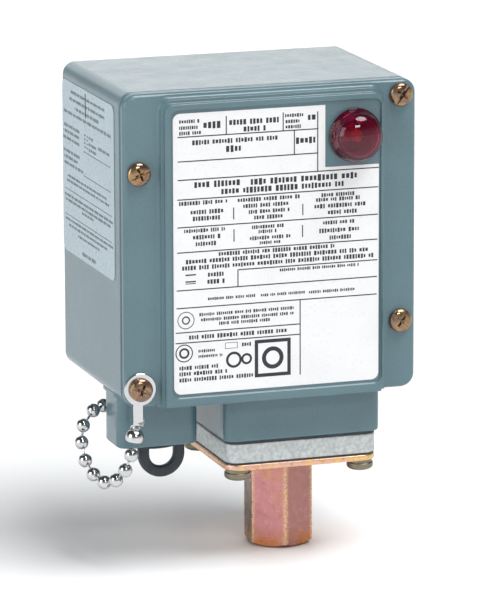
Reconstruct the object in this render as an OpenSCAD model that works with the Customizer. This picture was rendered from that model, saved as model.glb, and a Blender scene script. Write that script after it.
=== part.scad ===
// Diaphragm pressure switch in a cast enclosure: snap switch, range and differential springs,
// pilot light in the cover, threaded pressure connector below.
// Origin: centre of the four tapped holes in the back face. +Y into the wall, +Z up, front faces -Y.

/* [Enclosure] */
// Width of the cast enclosure
body_w = 107; // [104:1:112]
// Height of the cast enclosure, without what hangs below it
body_h = 110.5; // [109.5:0.5:114]
// Depth of the cast enclosure, from its back face to the cover joint
body_d = 69.8; // [69:0.2:72]
// Thickness of the side walls
wall_t = 3.6; // [3:0.1:4]
// Thickness of the back wall
back_t = 5; // [4:0.5:5.5]
// Radius of the long edges of the enclosure
edge_r = 4.5; // [3:0.5:5]

/* [Cover] */
// Thickness of the joint gasket
gasket_t = 0.8; // [0.6:0.1:1]
// Thickness of the cover's flange
flange_t = 3.9; // [3.5:0.1:4.5]
// How far the first step of the panel stands above the flange
step_1 = 1.7; // [1.4:0.1:2]
// How far the second step of the panel stands above the first
step_2 = 1.8; // [1.5:0.1:2]
// How far the cover stands out past the enclosure on every side
cover_over = 0.5; // [0.3:0.1:0.8]
// Depth of the recess that holds the rating label and the pilot light
recess_t = 0.7; // [0.5:0.1:0.8]

/* [Pilot light] */
// Radius of the lens at its foot
lens_r = 9.6; // [8.8:0.1:9.6]
// Height of the lens above the recess
lens_h = 9.8; // [8.5:0.1:10.5]

/* [Pressure end] */
// Distance across the flats of the connector's hexagon
hex_af = 22.2; // [20.6:0.1:23.8]
// Length of the connector below the flange plate
hex_len = 34; // [32:0.5:36]
// Width of the square neck below the enclosure
neck_w = 58; // [56:0.5:59]
// Distance between the flange screws, along both sides of the square
screw_pitch = 46; // [44:0.5:46]
// Upward travel of the piston
piston_travel = 1; // [0.6:0.1:1]

/* [Conduit hub] */
// Width of the hub
hub_w = 29.6; // [28:0.2:30]
// Radius of the conduit entry, tapped for half-inch taper pipe thread
conduit_r = 9.13; // [9:0.01:9.2]

/* [Chain] */
// Diameter of one bead
bead_d = 5; // [4.4:0.1:5.2]

/* [Hidden] */
$fn = 64;

paint = "#7a959d";
rubber = "#2b3238";
chromate = "#c99a6b";
nickel = "#c9ccd0";
zinc = "#b9c4c4";
steel = "#8f9499";
spring_steel = "#6f757b";
dark_steel = "#5f5a50";
brass = "#c8a04a";
phenolic = "#24211f";

// Planes along Y
seam_y = -body_d;
joint_y = seam_y - gasket_t;
flange_y = joint_y - flange_t;
panel_1_y = flange_y - step_1;
panel_2_y = panel_1_y - step_2;
recess_y = panel_2_y + recess_t;
inner_y = -back_t;

// Half sizes of the enclosure and its cavity
half_w = body_w / 2;
half_h = body_h / 2;
cavity_x = half_w - wall_t;
cavity_z = half_h - wall_t;
cover_x = half_w + cover_over;
cover_z = half_h + cover_over;

// Panel and recess of the cover
panel_x0 = 13 - half_w;
panel_x1 = half_w - 12.5;
panel_1_z1 = cover_z - 2.8;
panel_2_z1 = cover_z - 4.2;
panel_r = 3;
recess_x0 = panel_x0 + 3.1;
recess_x1 = panel_x1 - 0.9;
recess_z0 = 3.2 - cover_z;
recess_z1 = panel_2_z1 - 2.2;
recess_r = 3;
pocket_edge = 12;
pocket_t = 2.9;

// Rating label, with a corner left out for the pilot light
label_x0 = recess_x0 + 0.9;
label_x1 = recess_x1 - 1;
label_z0 = recess_z0 + 1.3;
label_z1 = recess_z1 - 1.2;
label_cut_x = 19.2;
label_cut_z = 26.1;
label_t = 0.2;
label_r = 2.6;

// Side label
side_label_y0 = 5.8 - body_d;
side_label_y1 = -1.6;
side_label_z0 = 42.8 - half_h;
side_label_z1 = half_h - 5.6;

// Cover screws: left column and right column
screw_x = 48.1;
cover_screw_at = [[-screw_x, 27.4], [screw_x, 49.8], [screw_x, -31.2], [-screw_x, -48.9]];
cover_head_r = 4.15;
cover_head_h = 2.7;
cover_shank_r = 1.7;
cover_tap_r = 1.75;
cover_hole_r = 2.2;
cover_reach = 12;
boss_r = 5.1;
boss_len = 16;
washer_t = 0.8;

// Pilot light
lamp_at = [30.1, 36.9];
socket_r = 7;
socket_back = -52;
socket_floor = -57;
socket_wall = 0.7;
lamp_r = 2.4;
dome_curve = 9.6;

// Conduit hub
hub_at = [17.1 - half_w, 24 - body_d];
hub_front = 10 - body_d;
hub_h = 18.7;
hub_z = -half_h - hub_h;
hub_corner = 4;
plug_r = conduit_r - 0.08;
plug_len = 14;
plug_cap_r = 12.2;
plug_cap_t = 0.9;
loop_r = 8.5;
loop_w = 3.9;
loop_t = 3.2;
loop_at = [-32.8, -49.8];
loop_drop = 3.7;

// Actuator below the neck
act_at = [14.5, -39.8];
neck_h = 17.2;
neck_z = -half_h - neck_h;
neck_r = 4;
act_gasket_t = 1;
housing_t = 7.1;
diaphragm_t = 0.5;
plate_t = 2.2;
housing_w = neck_w - 1.7;
housing_z1 = neck_z - act_gasket_t;
housing_z0 = housing_z1 - housing_t;
plate_z1 = housing_z0 - diaphragm_t;
plate_z0 = plate_z1 - plate_t;
hex_z0 = plate_z0 - hex_len;
neck_bore_r = 10;
piston_bore_r = 14.05;
piston_r = 14;
seat_gap = 0.1;
piston_h = neck_z - housing_z0 - piston_travel - seat_gap;
rod_r = 3;
running = 0.05;
apart = 0.3;
flange_tap_r = 2.1;
flange_shank_r = 2.05;
flange_hole_r = 2.6;
flange_head_r = 4.8;
flange_head_h = 3;
lockwasher_t = 1.2;
flange_reach = 10;
port_r = 5.56;
port_len = 14;
passage_r = 3;
spigot_r = 8.5;
hex_chamfer = 1.6;
// Angle by which the connector's flats are turned from the box's sides when it is tight
hex_turn = 24;

// Mounting holes in the back
mount_x = 76;
mount_z = 82;
mount_tap_r = 2.02;
mount_depth = 9;
mount_boss_r = 6;
mount_boss_y = -10.8;

// Mechanism frame: back plate, top flange, bottom strip and front ear
sheet = 2.5;
plate_y1 = -11;
plate_y0 = plate_y1 - sheet;
frame_x0 = -40;
frame_x1 = 47;
frame_z0 = -46;
frame_z1 = 30.5;
top_x0 = -10;
top_x1 = 40;
top_y0 = -47;
ear_y0 = -58;
ear_x0 = 34;
strip_z0 = -50.5;
ear_z1 = -36.6;
post_at = [[-33, -38], [-33, 26], [43, 24], [33, -22]];
post_r = 5;
post_tap_r = 1.75;
ground_at = [-45, -25];
ground_y = -17;

// Operating lever and its pin
pivot = [40, -41];
pin_r = 2.5;
lever_hub_r = 4.5;
lever_x0 = -28;
lever_y0 = -46.8;
lever_y1 = -32.8;
lever_z0 = -42.5;
lever_z1 = -39.5;
seat_r = 12.5;
seat_t = 2;

// Range spring, nut and screw
range_mean_r = 10.3;
range_wire_r = 1.4;
range_turns = 6;
range_nut_z = 8;
range_nut_r = 12.5;
range_nut_t = 4;
range_screw_r = 3;
range_screw_z0 = -20;
arm_end_y = -8;
pointer_y = -49.6;
scale_y = -47.8;
scale_t = 0.8;

// Differential spring, nut and screw
diff_x = -4;
diff_mean_r = 2.9;
diff_wire_r = 0.45;
diff_turns = 9;
diff_nut_z = -10;
diff_nut_r = 3.8;
diff_nut_t = 5;
diff_screw_r = 2;
diff_screw_z0 = -22;

// Snap switch
case_x0 = -36;
case_x1 = -12;
case_y0 = -50;
case_z0 = -28;
case_z1 = 22;
plunger_x = -24;
plunger_r = 2.4;
plunger_top = -20;
bridge_t = 2;
terminal_x = [-30, -18];
terminal_z = [-14, 12];

// Ball chain: centre of each bead, then the cup of the rear eyelet
front_cup = [-49.5, -72.5, -66.5];
rear_cup = [-36.8, -19.8, -58.4];
beads = [[-50.5, -71.5, -73], [-52, -69, -79], [-54, -64.5, -83.5], [-56.5, -58.5, -85.5],
    [-58.5, -52, -84], [-60, -47, -80], [-60.5, -44.5, -74], [-58.5, -40, -69],
    [-54, -37.5, -64.5], [-49, -33.5, -64], [-44, -29, -63], [-40, -24.5, -60.5]];
link_r = 0.6;
link_gap = 1;
cup_r = 3.3;
eyelet_r = 5.8;
anchor_at = [-32, -12];

// Rounded rectangle from (x0, z0) to (x1, z1)
module outline(x0, x1, z0, z1, r) {
    translate([x0 + r, z0]) square([x1 - x0 - 2 * r, z1 - z0]);
    translate([x0, z0 + r]) square([x1 - x0, z1 - z0 - 2 * r]);
    for (x = [x0 + r, x1 - r], z = [z0 + r, z1 - r]) translate([x, z]) circle(r);
}

// Rounded slab that lies in the XZ plane, from y0 to y1
module front_slab(x0, x1, z0, z1, y0, y1, r) {
    translate([0, y1, 0]) rotate([90, 0, 0]) linear_extrude(y1 - y0) outline(x0, x1, z0, z1, r);
}

// Rounded slab that lies in the XY plane, from z0 to z1
module flat_slab(x0, x1, y0, y1, z0, z1, r) {
    translate([0, 0, z0]) linear_extrude(z1 - z0) outline(x0, x1, y0, y1, r);
}

module block(x0, x1, y0, y1, z0, z1) {
    translate([x0, y0, z0]) cube([x1 - x0, y1 - y0, z1 - z0]);
}

module rod_y(at, y0, y1, r) {
    translate([at[0], y1, at[1]]) rotate([90, 0, 0]) cylinder(h = y1 - y0, r = r);
}

module rod_z(at, z0, z1, r) {
    translate([at[0], at[1], z0]) cylinder(h = z1 - z0, r = r);
}

// Round bar between two points
module bar(a, b, r) {
    v = b - a;
    len = norm(v);
    translate(a) rotate([0, acos(v[2] / len), atan2(v[1], v[0])]) cylinder(h = len, r = r, $fn = 24);
}

// Pan head, its seat at y, standing towards -Y, with a slot across it
module pan_head_y(at, y, r, h) {
    difference() {
        union() {
            rod_y(at, y - h * 0.55, y, r);
            translate([at[0], y - h * 0.55, at[1]]) rotate([90, 0, 0]) cylinder(h = h * 0.45, r1 = r, r2 = r * 0.7);
        }
        block(at[0] - r, at[0] + r, y - h - 1, y - h * 0.6, at[1] - 0.5, at[1] + 0.5);
    }
}

// Square of four points round a centre
function corners(at, half) = [for (x = [-half, half], y = [-half, half]) [at[0] + x, at[1] + y]];

// Square plate of the pressure end, with the four screw holes and a centre hole
module pressure_plate(w, z0, z1, corner, hole_r, centre_r) {
    difference() {
        flat_slab(act_at[0] - w / 2, act_at[0] + w / 2, act_at[1] - w / 2, act_at[1] + w / 2, z0, z1, corner);
        for (at = corners(act_at, screw_pitch / 2)) rod_z(at, z0 - 1, z1 + 1, hole_r);
        if (centre_r > 0) rod_z(act_at, z0 - 1, z1 + 1, centre_r);
    }
}

// Round wire wound as a helix, its ends closed, as one swept solid
module coil(at, z0, z1, mean_r, wire_r, turns) {
    sides = 8;
    steps = round(turns * 14);
    rise = (z1 - z0 - 2 * wire_r) / steps;
    points = [for (i = [0:steps]) let (a = 360 * turns * i / steps) for (j = [0:sides - 1])
        let (b = 360 * j / sides, rr = mean_r + wire_r * cos(b))
        [at[0] + rr * cos(a), at[1] + rr * sin(a), z0 + wire_r + rise * i + wire_r * sin(b)]];
    skin = [for (i = [0:steps - 1]) for (j = [0:sides - 1]) let (k = (j + 1) % sides)
        [i * sides + j, (i + 1) * sides + j, (i + 1) * sides + k, i * sides + k]];
    first = [[for (j = [0:sides - 1]) j]];
    last = [[for (j = [sides - 1:-1:0]) steps * sides + j]];
    polyhedron(points, concat(first, skin, last));
}

// The casting: box, conduit hub, neck, inner bosses
module enclosure() {
    neck_x0 = act_at[0] - neck_w / 2;
    neck_y0 = act_at[1] - neck_w / 2;
    color(paint) difference() {
        union() {
            front_slab(-half_w, half_w, -half_h, half_h, seam_y, 0, edge_r);
            flat_slab(neck_x0, neck_x0 + neck_w, neck_y0, neck_y0 + neck_w, neck_z, -cavity_z, neck_r);
            rod_z(hub_at, hub_z, -cavity_z, hub_w / 2);
            flat_slab(hub_at[0] - hub_w / 2, hub_at[0] + hub_w / 2, hub_front, hub_at[1] + hub_corner,
                hub_z, -cavity_z, hub_corner);
        }
        difference() {
            front_slab(-cavity_x, cavity_x, -cavity_z, cavity_z, seam_y - 1, inner_y, edge_r - 1);
            for (at = cover_screw_at) rod_y(at, seam_y - 1, seam_y + boss_len, boss_r);
            for (at = post_at) rod_y(at, plate_y1, 0, post_r);
            for (x = [-1, 1], z = [-1, 1]) rod_y([x * mount_x / 2, z * mount_z / 2], mount_boss_y, 0, mount_boss_r);
            rod_y(ground_at, ground_y, 0, post_r);
            block(anchor_at[0] - post_r, anchor_at[0] + post_r, anchor_at[1] - post_r, 0, -half_h, 4 - cavity_z);
        }
        for (at = cover_screw_at) rod_y(at, seam_y - 1, seam_y + cover_reach + 3, cover_tap_r);
        for (at = post_at) rod_y(at, plate_y1 - 1, inner_y + 2, post_tap_r);
        rod_y(ground_at, ground_y - 1, inner_y + 2, post_tap_r);
        for (x = [-1, 1], z = [-1, 1]) rod_y([x * mount_x / 2, z * mount_z / 2], -mount_depth, 1, mount_tap_r);
        rod_z(hub_at, hub_z - 1, 1 - cavity_z, conduit_r);
        rod_z(act_at, neck_z - 1, 1 - cavity_z, neck_bore_r);
        for (at = corners(act_at, screw_pitch / 2)) rod_z(at, neck_z - 1, neck_z + flange_reach + 1, flange_tap_r);
        rod_z(anchor_at, -half_h - 1, 1 - cavity_z, post_tap_r);
    }
}

// Cover: flange, two steps, recess in front, pocket behind, hole for the lamp socket
module cover() {
    color(paint) difference() {
        union() {
            front_slab(-cover_x, cover_x, -cover_z, cover_z, flange_y, joint_y, edge_r + cover_over);
            front_slab(panel_x0, panel_x1, -cover_z, panel_1_z1, panel_1_y, flange_y, panel_r);
            front_slab(panel_x0 + 1, panel_x1 - 0.6, -cover_z, panel_2_z1, panel_2_y, panel_1_y, panel_r);
        }
        front_slab(recess_x0, recess_x1, recess_z0, recess_z1, panel_2_y - 1, recess_y, recess_r);
        front_slab(-cavity_x + pocket_edge, cavity_x - pocket_edge, -cavity_z + 4, cavity_z - 4,
            joint_y - pocket_t, joint_y + 1, panel_r);
        rod_y(lamp_at, panel_2_y - 1, joint_y + 1, socket_r);
        for (at = cover_screw_at) rod_y(at, flange_y - 1, joint_y + 1, cover_hole_r);
    }
}

module cover_gasket() {
    inset = 0.6;
    lip = wall_t + 3;
    color(rubber) difference() {
        front_slab(inset - half_w, half_w - inset, inset - half_h, half_h - inset, joint_y, seam_y, edge_r);
        difference() {
            front_slab(lip - half_w, half_w - lip, lip - half_h, half_h - lip, joint_y - 1, seam_y + 1, edge_r);
            for (at = cover_screw_at) rod_y(at, joint_y - 1, seam_y + 1, boss_r);
        }
        for (at = cover_screw_at) rod_y(at, joint_y - 1, seam_y + 1, cover_hole_r);
    }
}

module cover_screws() {
    last = len(cover_screw_at) - 1;
    color(chromate) for (i = [0:last]) {
        at = cover_screw_at[i];
        seat_y = i == last ? flange_y - washer_t : flange_y;
        pan_head_y(at, seat_y, cover_head_r, cover_head_h);
        rod_y(at, seat_y, seam_y + cover_reach, cover_shank_r);
    }
}

module rating_label() {
    color("#f4f5f6") difference() {
        front_slab(label_x0, label_x1, label_z0, label_z1, recess_y - label_t, recess_y, label_r);
        block(label_cut_x, label_x1 + 1, recess_y - 1, recess_y + 1, label_cut_z, label_z1 + 1);
    }
}

module side_label() {
    color("#e8ecee") translate([-half_w - label_t, 0, 0]) rotate([90, 0, 90])
        linear_extrude(label_t) outline(side_label_y0, side_label_y1, side_label_z0, side_label_z1, 3);
}

// Lens: foot, tapering side and dome, hollow behind, with a threaded skirt in the socket
module pilot_lens() {
    foot = 1.2;
    side = 4.6;
    dome_r = lens_r - 1.2;
    color("#9c1420") translate([lamp_at[0], recess_y - 0.6, lamp_at[1]]) rotate([90, 0, 0]) difference() {
        union() {
            cylinder(h = foot, r = lens_r);
            translate([0, 0, foot]) cylinder(h = side - foot, r1 = lens_r - 0.3, r2 = dome_r);
            intersection() {
                translate([0, 0, lens_h - 0.6 - dome_curve]) sphere(dome_curve);
                translate([0, 0, side]) cylinder(h = lens_h, r = dome_r);
            }
            translate([0, 0, -4]) cylinder(h = 4, r = socket_r - socket_wall);
        }
        translate([0, 0, -5]) cylinder(h = side + 4, r = socket_r - 1.8);
    }
}

module lens_gasket() {
    color(rubber) difference() {
        rod_y(lamp_at, recess_y - 0.6, recess_y, lens_r - 0.4);
        rod_y(lamp_at, recess_y - 1, recess_y + 1, socket_r);
    }
}

// Socket: tube through the cover with a closed back and two solder tabs
module lamp_socket() {
    tab_len = 3;
    color(phenolic) difference() {
        union() {
            rod_y(lamp_at, recess_y + 0.3, socket_back - tab_len, socket_r);
            for (x = [-3, 3]) block(lamp_at[0] + x - 1.2, lamp_at[0] + x + 1.2, socket_back - tab_len - 1,
                socket_back, lamp_at[1] - 0.4, lamp_at[1] + 0.4);
        }
        rod_y(lamp_at, recess_y - 1, socket_floor, socket_r - socket_wall);
    }
}

module socket_nut() {
    color(nickel) difference() {
        translate([lamp_at[0], joint_y - pocket_t + 3, lamp_at[1]]) rotate([90, 0, 0]) rotate([0, 0, 30])
            cylinder(h = 3, r = 8.6, $fn = 6);
        rod_y(lamp_at, joint_y - 5, joint_y + 5, socket_r);
    }
}

// Neon lamp: glass envelope on a base that stands in the socket
module neon_lamp() {
    tip_y = recess_y - 1.4;
    base_y = socket_floor - 10;
    color("#d9602a") {
        rod_y(lamp_at, tip_y, base_y, lamp_r);
        translate([lamp_at[0], tip_y, lamp_at[1]]) sphere(lamp_r);
        rod_y(lamp_at, base_y, socket_floor, lamp_r + 2);
    }
}

// Two leads that hang from the solder tabs behind the cover
module lamp_leads() {
    lead_r = 0.8;
    drop = 26;
    color("#b8321f") for (x = [-3, 3])
        rod_z([lamp_at[0] + x, socket_back - 1], lamp_at[1] - 0.4 - drop, lamp_at[1] - 0.4, lead_r);
}

// Eyelet ring of the front: under the lowest left cover screw, neck folded into a bead cup
module front_eyelet() {
    at = cover_screw_at[3];
    color(nickel) {
        difference() {
            rod_y(at, flange_y - washer_t, flange_y, eyelet_r);
            rod_y(at, flange_y - 2, flange_y + 1, cover_shank_r + 0.3);
        }
        block(at[0] - 2.6, at[0] + 0.9, flange_y - washer_t, flange_y, front_cup[2] + 4.5, at[1] - eyelet_r + 0.6);
        block(at[0] - 2.6, at[0] + 0.9, flange_y - washer_t, front_cup[1] + 1.5, front_cup[2] + 4, front_cup[2] + 5);
        block(at[0] - 2.6, at[0] + 0.9, front_cup[1] + 0.7, front_cup[1] + 1.5, front_cup[2] + 1, front_cup[2] + 4.5);
        translate(front_cup) difference() {
            sphere(cup_r);
            translate([0, 0, -cup_r - 1.2]) cylinder(h = 2.2, r = cup_r);
        }
    }
}

module rear_eyelet() {
    z1 = -half_h;
    color(nickel) {
        difference() {
            rod_z(anchor_at, z1 - washer_t, z1, eyelet_r);
            rod_z(anchor_at, z1 - 2, z1 + 1, post_tap_r + 0.3);
        }
        bar([anchor_at[0] - 2.5, anchor_at[1] - 4, z1 - 1.3], rear_cup, 1.3);
        translate(rear_cup) difference() {
            sphere(cup_r - 0.4);
            translate([0, 0, cup_r - 0.9]) cylinder(h = 2, r = cup_r);
        }
    }
}

module anchor_screw() {
    z1 = -half_h - washer_t;
    color(nickel) {
        rod_z(anchor_at, z1, 1 - cavity_z, post_tap_r - 0.05);
        difference() {
            translate([anchor_at[0], anchor_at[1], z1 - 2.4]) cylinder(h = 2.4, r1 = 3, r2 = 4);
            block(anchor_at[0] - 5, anchor_at[0] + 5, anchor_at[1] - 0.5, anchor_at[1] + 0.5, z1 - 3, z1 - 1.4);
        }
    }
}

// Transit plug in the conduit entry, with a pull loop below
module conduit_plug() {
    centre_z = hub_z - plug_cap_t - apart - loop_drop;
    cap_z = hub_z - apart;
    color(rubber) {
        difference() {
            rod_z(hub_at, cap_z, hub_z + plug_len, plug_r);
            rod_z(hub_at, cap_z + 2, hub_z + plug_len + 1, plug_r - 1.6);
        }
        rod_z(hub_at, cap_z - plug_cap_t, cap_z, plug_cap_r);
        translate([loop_at[0], loop_at[1] + loop_t / 2, 0]) rotate([90, 0, 0]) linear_extrude(loop_t) {
            difference() {
                translate([0, centre_z]) circle(loop_r);
                translate([0, centre_z]) circle(loop_r - loop_w);
                translate([-loop_r - 1, centre_z]) square([2 * loop_r + 2, loop_r + 1]);
            }
            for (s = [0, 1]) mirror([s, 0]) translate([loop_r - loop_w, centre_z])
                square([loop_w, cap_z - plug_cap_t - centre_z + 0.2]);
        }
    }
}

module actuator_gasket() {
    color(rubber) pressure_plate(housing_w, housing_z1, neck_z, neck_r + 1, flange_hole_r, piston_bore_r);
}

module actuator_housing() {
    color(zinc) pressure_plate(housing_w, housing_z0, housing_z1, neck_r + 1, flange_hole_r, piston_bore_r);
}

module diaphragm() {
    color(rubber) pressure_plate(housing_w - 0.4, plate_z1, housing_z0, neck_r + 1, flange_hole_r, 0);
}

module flange_plate() {
    color(chromate) pressure_plate(housing_w + 0.4, plate_z0, plate_z1, neck_r + 2, flange_hole_r, spigot_r);
}

// Hexagonal connector with a shoulder under the plate and a spigot through it
module pressure_port() {
    hex_r = hex_af / sqrt(3);
    color(chromate) difference() {
        union() {
            intersection() {
                translate([act_at[0], act_at[1], hex_z0]) rotate([0, 0, hex_turn])
                    cylinder(h = plate_z0 - hex_z0, r = hex_r, $fn = 6);
                union() {
                    rod_z(act_at, hex_z0 + hex_chamfer, plate_z0 - hex_chamfer, hex_r + 0.1);
                    translate([act_at[0], act_at[1], hex_z0])
                        cylinder(h = hex_chamfer, r1 = hex_af / 2 - 0.6, r2 = hex_r + 0.1);
                    translate([act_at[0], act_at[1], plate_z0 - hex_chamfer])
                        cylinder(h = hex_chamfer, r1 = hex_r + 0.1, r2 = hex_af / 2 - 0.6);
                }
            }
            rod_z(act_at, plate_z0 - 0.5, plate_z1, spigot_r);
        }
        rod_z(act_at, hex_z0 - 1, hex_z0 + port_len, port_r);
        rod_z(act_at, hex_z0, plate_z1 + 1, passage_r);
    }
}

module rod_z_hex(at, z0, z1, r) {
    translate([at[0], at[1], z0]) cylinder(h = z1 - z0, r = r, $fn = 6);
}

module flange_screws() {
    z1 = plate_z0 - lockwasher_t;
    color(dark_steel) for (at = corners(act_at, screw_pitch / 2)) {
        rod_z(at, z1, neck_z + flange_reach, flange_shank_r);
        rod_z(at, z1 - flange_head_h * 0.5, z1, flange_head_r);
        translate([at[0], at[1], z1 - flange_head_h])
            cylinder(h = flange_head_h * 0.5, r1 = flange_head_r * 0.7, r2 = flange_head_r);
    }
}

module flange_lockwashers() {
    z1 = plate_z0;
    color(dark_steel) for (at = corners(act_at, screw_pitch / 2)) difference() {
        rod_z(at, z1 - lockwasher_t, z1, flange_head_r - 0.5);
        rod_z(at, z1 - lockwasher_t - 1, z1 + 1, flange_shank_r + 0.1);
        translate([at[0], at[1] - 0.4, z1 - lockwasher_t - 1]) cube([flange_head_r, 0.8, lockwasher_t + 2]);
    }
}

module piston() {
    color(steel) {
        rod_z(act_at, housing_z0 + seat_gap, housing_z0 + piston_h, piston_r);
        rod_z(act_at, housing_z0 + piston_h, housing_z0 + piston_h + 2, rod_r + 3);
    }
}

// Rod from the piston to just below the lever, with a domed tip
module push_rod() {
    tip_z = lever_z0 - apart - rod_r;
    color(steel) {
        rod_z(act_at, housing_z0 + piston_h + 2, tip_z, rod_r);
        intersection() {
            translate([act_at[0], act_at[1], tip_z]) sphere(rod_r);
            rod_z(act_at, tip_z, tip_z + rod_r, rod_r);
        }
    }
}

module rod_guide() {
    color(brass) difference() {
        rod_z(act_at, -cavity_z - 10, -cavity_z, neck_bore_r);
        rod_z(act_at, -cavity_z - 11, 1 - cavity_z, rod_r + running);
    }
}

module mechanism_frame() {
    arm_half = 2.4;
    color(zinc) difference() {
        union() {
            block(frame_x0, frame_x1, plate_y0, plate_y1, frame_z0, frame_z1);
            block(top_x0, top_x1, top_y0, plate_y1, frame_z1 - sheet, frame_z1);
            block(ear_x0, frame_x1, ear_y0, plate_y1, strip_z0, strip_z0 + sheet);
            block(ear_x0, frame_x1, plate_y0, plate_y1, strip_z0, frame_z0);
            block(ear_x0, frame_x1, ear_y0, ear_y0 + sheet, strip_z0, ear_z1);
        }
        for (at = post_at) rod_y(at, plate_y0 - 1, plate_y1 + 1, 2.2);
        rod_y(pivot, ear_y0 - 1, plate_y1 + 1, pin_r);
        rod_z(act_at, frame_z1 - sheet - 1, frame_z1 + 1, range_screw_r + running);
        rod_z([diff_x, act_at[1]], frame_z1 - sheet - 1, frame_z1 + 1, diff_screw_r + running);
        block(act_at[0] - arm_half, act_at[0] + arm_half, plate_y0 - 1, plate_y1 + 1, -4, 24);
        block(diff_x - 1.8, diff_x + 1.8, plate_y0 - 1, plate_y1 + 1, -16, 2);
        for (z = switch_screw_z) rod_y([plunger_x, z], plate_y0 - 1, plate_y1 + 1, switch_screw_r - running);
    }
}
switch_screw_z = [-3, 18.5];
switch_screw_r = 1.6;

module frame_screws() {
    color(nickel) for (at = post_at) {
        pan_head_y(at, plate_y0, 3.8, 2.6);
        rod_y(at, plate_y0, inner_y + 1, post_tap_r - running);
    }
}

// Lever: hub on the pin, bar over the push rod, spring seat, tail under the plunger
module operating_lever() {
    hub_y0 = ear_y0 + sheet + apart;
    hub_y1 = plate_y0 - apart;
    color(steel) difference() {
        union() {
            rod_y(pivot, hub_y0, hub_y1, lever_hub_r);
            block(lever_x0, pivot[0], lever_y0, lever_y1, lever_z0, lever_z1);
            rod_z(act_at, lever_z1, lever_z1 + seat_t, seat_r);
            rod_z(act_at, lever_z1 + seat_t, lever_z1 + seat_t + 2.5, range_mean_r - range_wire_r - 0.6);
            rod_z([diff_x, act_at[1]], lever_z1, lever_z1 + 1, diff_mean_r + 1);
        }
        rod_y(pivot, ear_y0, plate_y1, pin_r + running);
    }
}

module lever_pin() {
    color(steel) {
        rod_y(pivot, ear_y0 - 2.4, plate_y1, pin_r);
    }
}

module pin_clip() {
    color(spring_steel) difference() {
        rod_y(pivot, ear_y0 - 1, ear_y0, 4.2);
        rod_y(pivot, ear_y0 - 2, ear_y0 + 1, pin_r);
        block(pivot[0] - 1.4, pivot[0] + 1.4, ear_y0 - 2, ear_y0 + 1, pivot[1] - 5, pivot[1] - 1.8);
    }
}

module range_spring() {
    color(spring_steel) coil(act_at, lever_z1 + seat_t, range_nut_z, range_mean_r, range_wire_r, range_turns);
}

// Nut plate on the spring, with a pointer in front and an arm in the frame's slot behind
module range_nut() {
    pointer_t = 1.2;
    color(brass) difference() {
        union() {
            rod_z(act_at, range_nut_z, range_nut_z + range_nut_t, range_nut_r);
            rod_z(act_at, range_nut_z + range_nut_t, range_nut_z + range_nut_t + 3, range_screw_r + 3);
            block(act_at[0] - 2, act_at[0] + 2, act_at[1], arm_end_y, range_nut_z, range_nut_z + range_nut_t);
            block(act_at[0] + 4, 33, pointer_y, pointer_y + pointer_t, range_nut_z + 1.4, range_nut_z + 2.6);
        }
        rod_z(act_at, range_nut_z - 1, range_nut_z + range_nut_t + 4, range_screw_r + running);
    }
}

// Adjusting screw: hexagonal slotted head above the flange, collar below it
module adjusting_screw(at, r, head_r, head_h, collar_r, z0) {
    head_z = frame_z1 + apart;
    collar_z = frame_z1 - sheet - apart;
    difference() {
        union() {
            rod_z(at, z0, head_z, r);
            rod_z_hex(at, head_z, head_z + head_h, head_r);
            rod_z(at, collar_z - 2.4, collar_z, collar_r);
        }
        block(at[0] - head_r, at[0] + head_r, at[1] - 0.6, at[1] + 0.6, head_z + head_h - 1.4, head_z + head_h + 1);
    }
}

module range_screw() {
    color(steel) adjusting_screw(act_at, range_screw_r, 5.6, 4.6, 5, range_screw_z0);
}

module range_scale() {
    color("#e9e6da") difference() {
        block(28.8, 39, scale_y, scale_y + scale_t, -14, frame_z1);
        rod_y([34, 28.6], scale_y - 1, scale_y + 2, 0.9);
    }
}

module differential_spring() {
    color(spring_steel)
        coil([diff_x, act_at[1]], lever_z1 + 1, diff_nut_z, diff_mean_r, diff_wire_r, diff_turns);
}

module differential_nut() {
    at = [diff_x, act_at[1]];
    color(brass) difference() {
        union() {
            rod_z_hex(at, diff_nut_z, diff_nut_z + diff_nut_t, diff_nut_r);
            block(diff_x - 1.3, diff_x + 1.3, act_at[1], arm_end_y, diff_nut_z, diff_nut_z + 2.6);
        }
        rod_z(at, diff_nut_z - 1, diff_nut_z + diff_nut_t + 1, diff_screw_r + running);
    }
}

module differential_screw() {
    color(steel) adjusting_screw([diff_x, act_at[1]], diff_screw_r, 4, 3.4, 3.4, diff_screw_z0);
}

// Moulded switch block with the contact chamber and the plunger's guide
module switch_case() {
    mid_y = act_at[1];
    color(phenolic) difference() {
        front_slab(case_x0, case_x1, case_z0, case_z1, case_y0, plate_y0, 1.5);
        block(case_x0 + 1.5, case_x1 - 1.5, mid_y - 5, mid_y + 5, plunger_top - 3, plunger_top + 11);
        rod_z([plunger_x, mid_y], case_z0 - 1, plunger_top, plunger_r + running);
        for (z = switch_screw_z) rod_y([plunger_x, z], case_y0 - 1, plate_y0 + 1, switch_screw_r + 0.1);
        for (x = terminal_x, z = terminal_z) rod_y([x, z], case_y0 - 1, case_y0 + 4, 1.5);
        block(plunger_x - 1, plunger_x + 1, case_y0 - 1, case_y0 + 1, 5, 15);
    }
}

module switch_plunger() {
    color("#d8d2c4") rod_z([plunger_x, act_at[1]], lever_z1 + apart, plunger_top, plunger_r);
}

module contact_bridge() {
    color(brass) block(plunger_x - 9, plunger_x + 9, act_at[1] - 2.4, act_at[1] + 2.4,
        plunger_top, plunger_top + bridge_t);
}

module fixed_contacts() {
    upper_z = plunger_top + bridge_t + 2.9;
    lower_z = plunger_top - apart - 1.2;
    mid_y = act_at[1];
    color(brass) for (z = [lower_z, upper_z]) {
        block(case_x0 + 1.5, plunger_x - 6, mid_y - 3, mid_y + 3, z, z + 1.2);
        block(plunger_x + 6, case_x1 - 1.5, mid_y - 3, mid_y + 3, z, z + 1.2);
    }
}

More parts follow.
